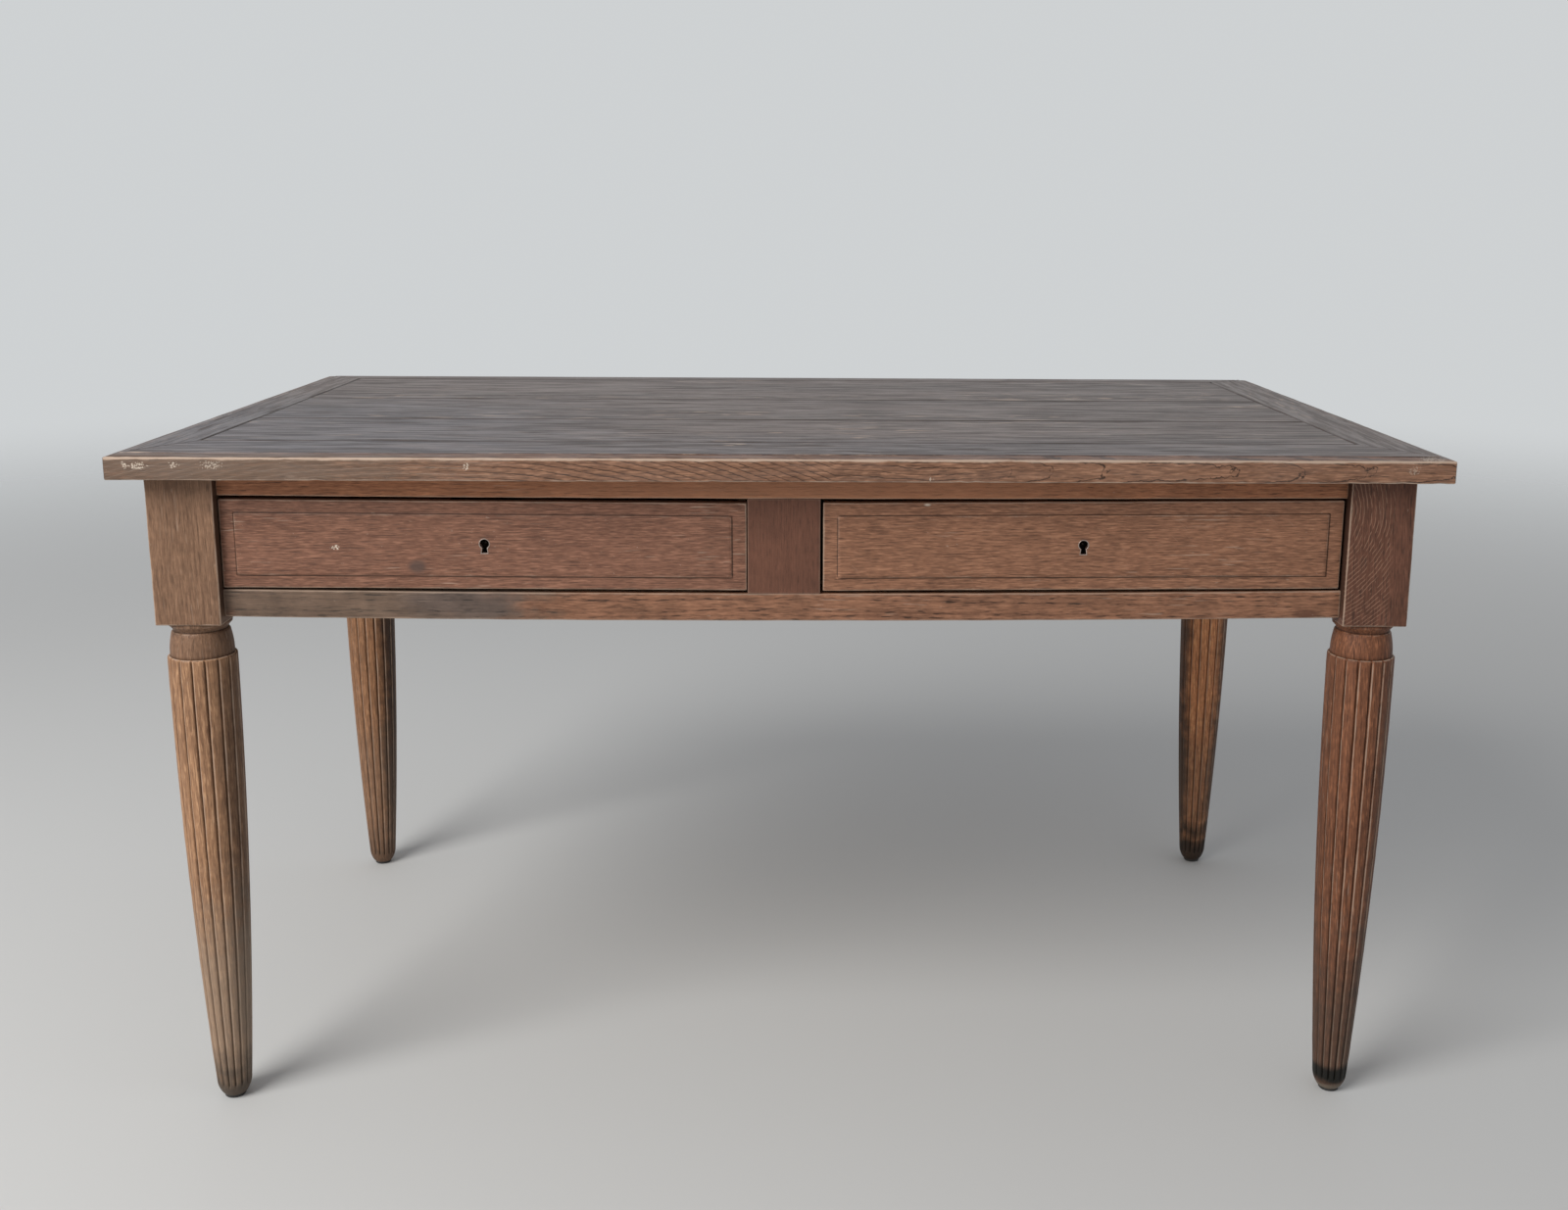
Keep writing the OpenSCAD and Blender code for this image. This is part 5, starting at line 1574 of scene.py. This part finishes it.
class OAK_OT_drawers(bpy.types.Operator):
    """Drawer fronts with raised fields, and the wood of the drawer boxes"""

    bl_idname = "oak_table.drawers"
    bl_label = "Drawers"

    def execute(self, context):
        burn = spot((-0.394, RAIL_Y, 0.630), (0.017, 0.02, 0.013), 0.75, (0.075, 0.050, 0.042),
                    0.60, 1.10)
        chip = spot((0.150, RAIL_Y, 0.699), (0.005, 0.02, 0.002), 0.9, settings().finish.chip)
        for side, wood, lift, pith, mark_of, figure in (
                ("left", "rose", (-0.0002, -0.0026, -0.0006, -0.0036), (0.0, 0.40, -0.55),
                 burn, knocked),
                ("right", "amber", (-0.0030, 0.0002, -0.0031, 0.0010), (0.7, 0.43, -0.52),
                 chip, flecked)):
            drawer_front(side, lift, oak(
                f"Drawer front {side}", wood, pith=pith, tilt=(0, 0.005, 0.008), edge=0.6,
                scuff=0.45, stains=[mark_of], figure=figure, spacing=0.0030, rings=0.12,
                flecks=0.4, fibres=1.0, dashes=2.0, streaks=0.3, pores=0.5, patches=0.5,
                rays=0.1))
        dress(("side", "back", "bottom"), inner_material(), "_drawer_")
        return {"FINISHED"}


class OAK_OT_inside(bpy.types.Operator):
    """Runners, guides, kickers, stops and buttons under the top"""

    bl_idname = "oak_table.inside"
    bl_label = "Drawer Supports"

    def execute(self, context):
        dress(("runner", "guide", "kicker", "bearer", "stops", "buttons"), inner_material())
        return {"FINISHED"}


class OAK_OT_metal(bpy.types.Operator):
    """Locks, keyhole liners, screws, nails and glides"""

    bl_idname = "oak_table.metal"
    bl_label = "Locks and Fasteners"

    def execute(self, context):
        finish = settings().finish
        dress(("screws", "nails"), metal("Dull steel", finish.steel, finish.rust, 0.45, 0.7))
        dress("pin", lock_steel())
        for side in ("left", "right"):
            keyhole_liner(side, metal("Rubbed liner", finish.liner, finish.steel, 0.38, 0.5))
        dress("glide", nylon("Glide nylon", finish.nylon))
        return {"FINISHED"}


# The stage

# Tint of the soft light from all round, and of the lamp, with its place, aim and size
SKY_TINT = (0.97, 0.99, 1.03)
LAMP_TINT = (1.0, 0.99, 0.97)
LAMP_PLACE = Vector((-2.6, -2.6, 3.0))
LAMP_AIM = Vector((0.0, 0.0, 0.6))
LAMP_SIZE = 2.6


def camera_matrix(stage):
    """Place and turn of the camera, from its yaw, pitch and roll"""
    yaw, pitch, roll = stage.yaw, stage.pitch, stage.roll
    ahead = Vector((math.sin(yaw) * math.cos(pitch), math.cos(yaw) * math.cos(pitch),
                    -math.sin(pitch)))
    right = Vector((math.cos(yaw), -math.sin(yaw), 0.0))
    down = ahead.cross(right)
    right, down = (right * math.cos(roll) + down * math.sin(roll),
                   down * math.cos(roll) - right * math.sin(roll))
    turn = Matrix((right, -down, -ahead)).transposed().to_4x4()
    return Matrix.Translation(Vector(stage.place)) @ turn


def floor_material(stage):
    """A pale floor that fades out into the backdrop far from the table"""
    def draw(g, place):
        radius = stage.floor_radius
        return {"Base Color": stage.floor, "Roughness": 0.75,
                "Alpha": g.fade(g.length(place), radius * 0.3, radius * 0.95)}

    return made_once("Pale floor", draw)


def world_light(stage):
    """Soft light from all round, and a pale backdrop for what the camera and gloss see"""
    world = bpy.data.worlds.new("Studio")
    world.use_nodes = True
    g = Graph(world.node_tree)
    path = g.add("ShaderNodeLightPath").outputs
    camera, glossy, through = (
        Value(g, path[f"Is {kind} Ray"]) for kind in ("Camera", "Glossy", "Transmission"))
    seen = g.most(g.most(camera, glossy), through)
    sky = shaded(SKY_TINT, stage.sky_level)
    g.fill(world.node_tree.nodes["Background"], {
        "Color": g.mix(seen, sky, stage.backdrop), "Strength": 1.0})
    bpy.context.scene.world = world


def soft_lamp(stage):
    data = bpy.data.lights.new("soft_left", "AREA")
    data.shape = "DISK"
    data.size = LAMP_SIZE
    data.energy = stage.lamp_power
    data.color = LAMP_TINT
    lamp = link_object("soft_left", data)
    lamp.location = LAMP_PLACE
    lamp.rotation_euler = (LAMP_AIM - LAMP_PLACE).to_track_quat("-Z", "Y").to_euler()


class OAK_OT_stage(bpy.types.Operator):
    """Pale floor, soft light and the camera at the photograph's angle"""

    bl_idname = "oak_table.stage"
    bl_label = "Stage"

    def execute(self, context):
        stage = settings().stage
        bm = bmesh.new()
        bmesh.ops.create_circle(bm, cap_ends=True, segments=64, radius=stage.floor_radius)
        floor = link_mesh("floor", bm)
        floor.data.materials.append(floor_material(stage))
        floor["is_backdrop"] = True
        world_light(stage)
        soft_lamp(stage)
        data = bpy.data.cameras.new("camera")
        data.sensor_fit = "HORIZONTAL"
        data.sensor_width = SENSOR_MM
        data.lens = stage.lens_pixels / FRAME_W * SENSOR_MM
        data.shift_x = (FRAME_W / 2 - stage.centre_x) / FRAME_W
        data.shift_y = (stage.centre_y - FRAME_H / 2) / FRAME_W
        camera = link_object("camera", data)
        camera.matrix_world = camera_matrix(stage)
        context.scene.camera = camera
        context.scene.view_settings.view_transform = "Standard"
        return {"FINISHED"}


OPERATORS = (OAK_OT_stage, OAK_OT_top, OAK_OT_legs, OAK_OT_frame, OAK_OT_drawers,
             OAK_OT_inside, OAK_OT_metal)


class OAK_PT_table(bpy.types.Panel):
    """Lists the steps that dress the table"""

    bl_label = "Oak Table"
    bl_idname = "OAK_PT_table"
    bl_space_type = "VIEW_3D"
    bl_region_type = "UI"
    bl_category = PANEL_TAB

    def draw(self, context):
        for operator in OPERATORS:
            self.layout.operator(operator.bl_idname)


CLASSES = (TopSettings, LegSettings, FrontSettings, FinishSettings, StageSettings,
           TableSettings, *OPERATORS, OAK_PT_table)


def register():
    for cls in CLASSES:
        bpy.utils.register_class(cls)
    bpy.types.Scene.oak_table = PointerProperty(type=TableSettings)


def unregister():
    del bpy.types.Scene.oak_table
    for cls in reversed(CLASSES):
        bpy.utils.unregister_class(cls)


def main():
    register()
    bpy.ops.oak_table.stage()
    bpy.ops.oak_table.top()
    bpy.ops.oak_table.legs()
    bpy.ops.oak_table.frame()
    bpy.ops.oak_table.drawers()
    bpy.ops.oak_table.inside()
    bpy.ops.oak_table.metal()
    sizes = {"cad": [list(c) for c in cad_box], "visual": [list(c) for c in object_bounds()]}


if __name__ == "__main__":
    main()
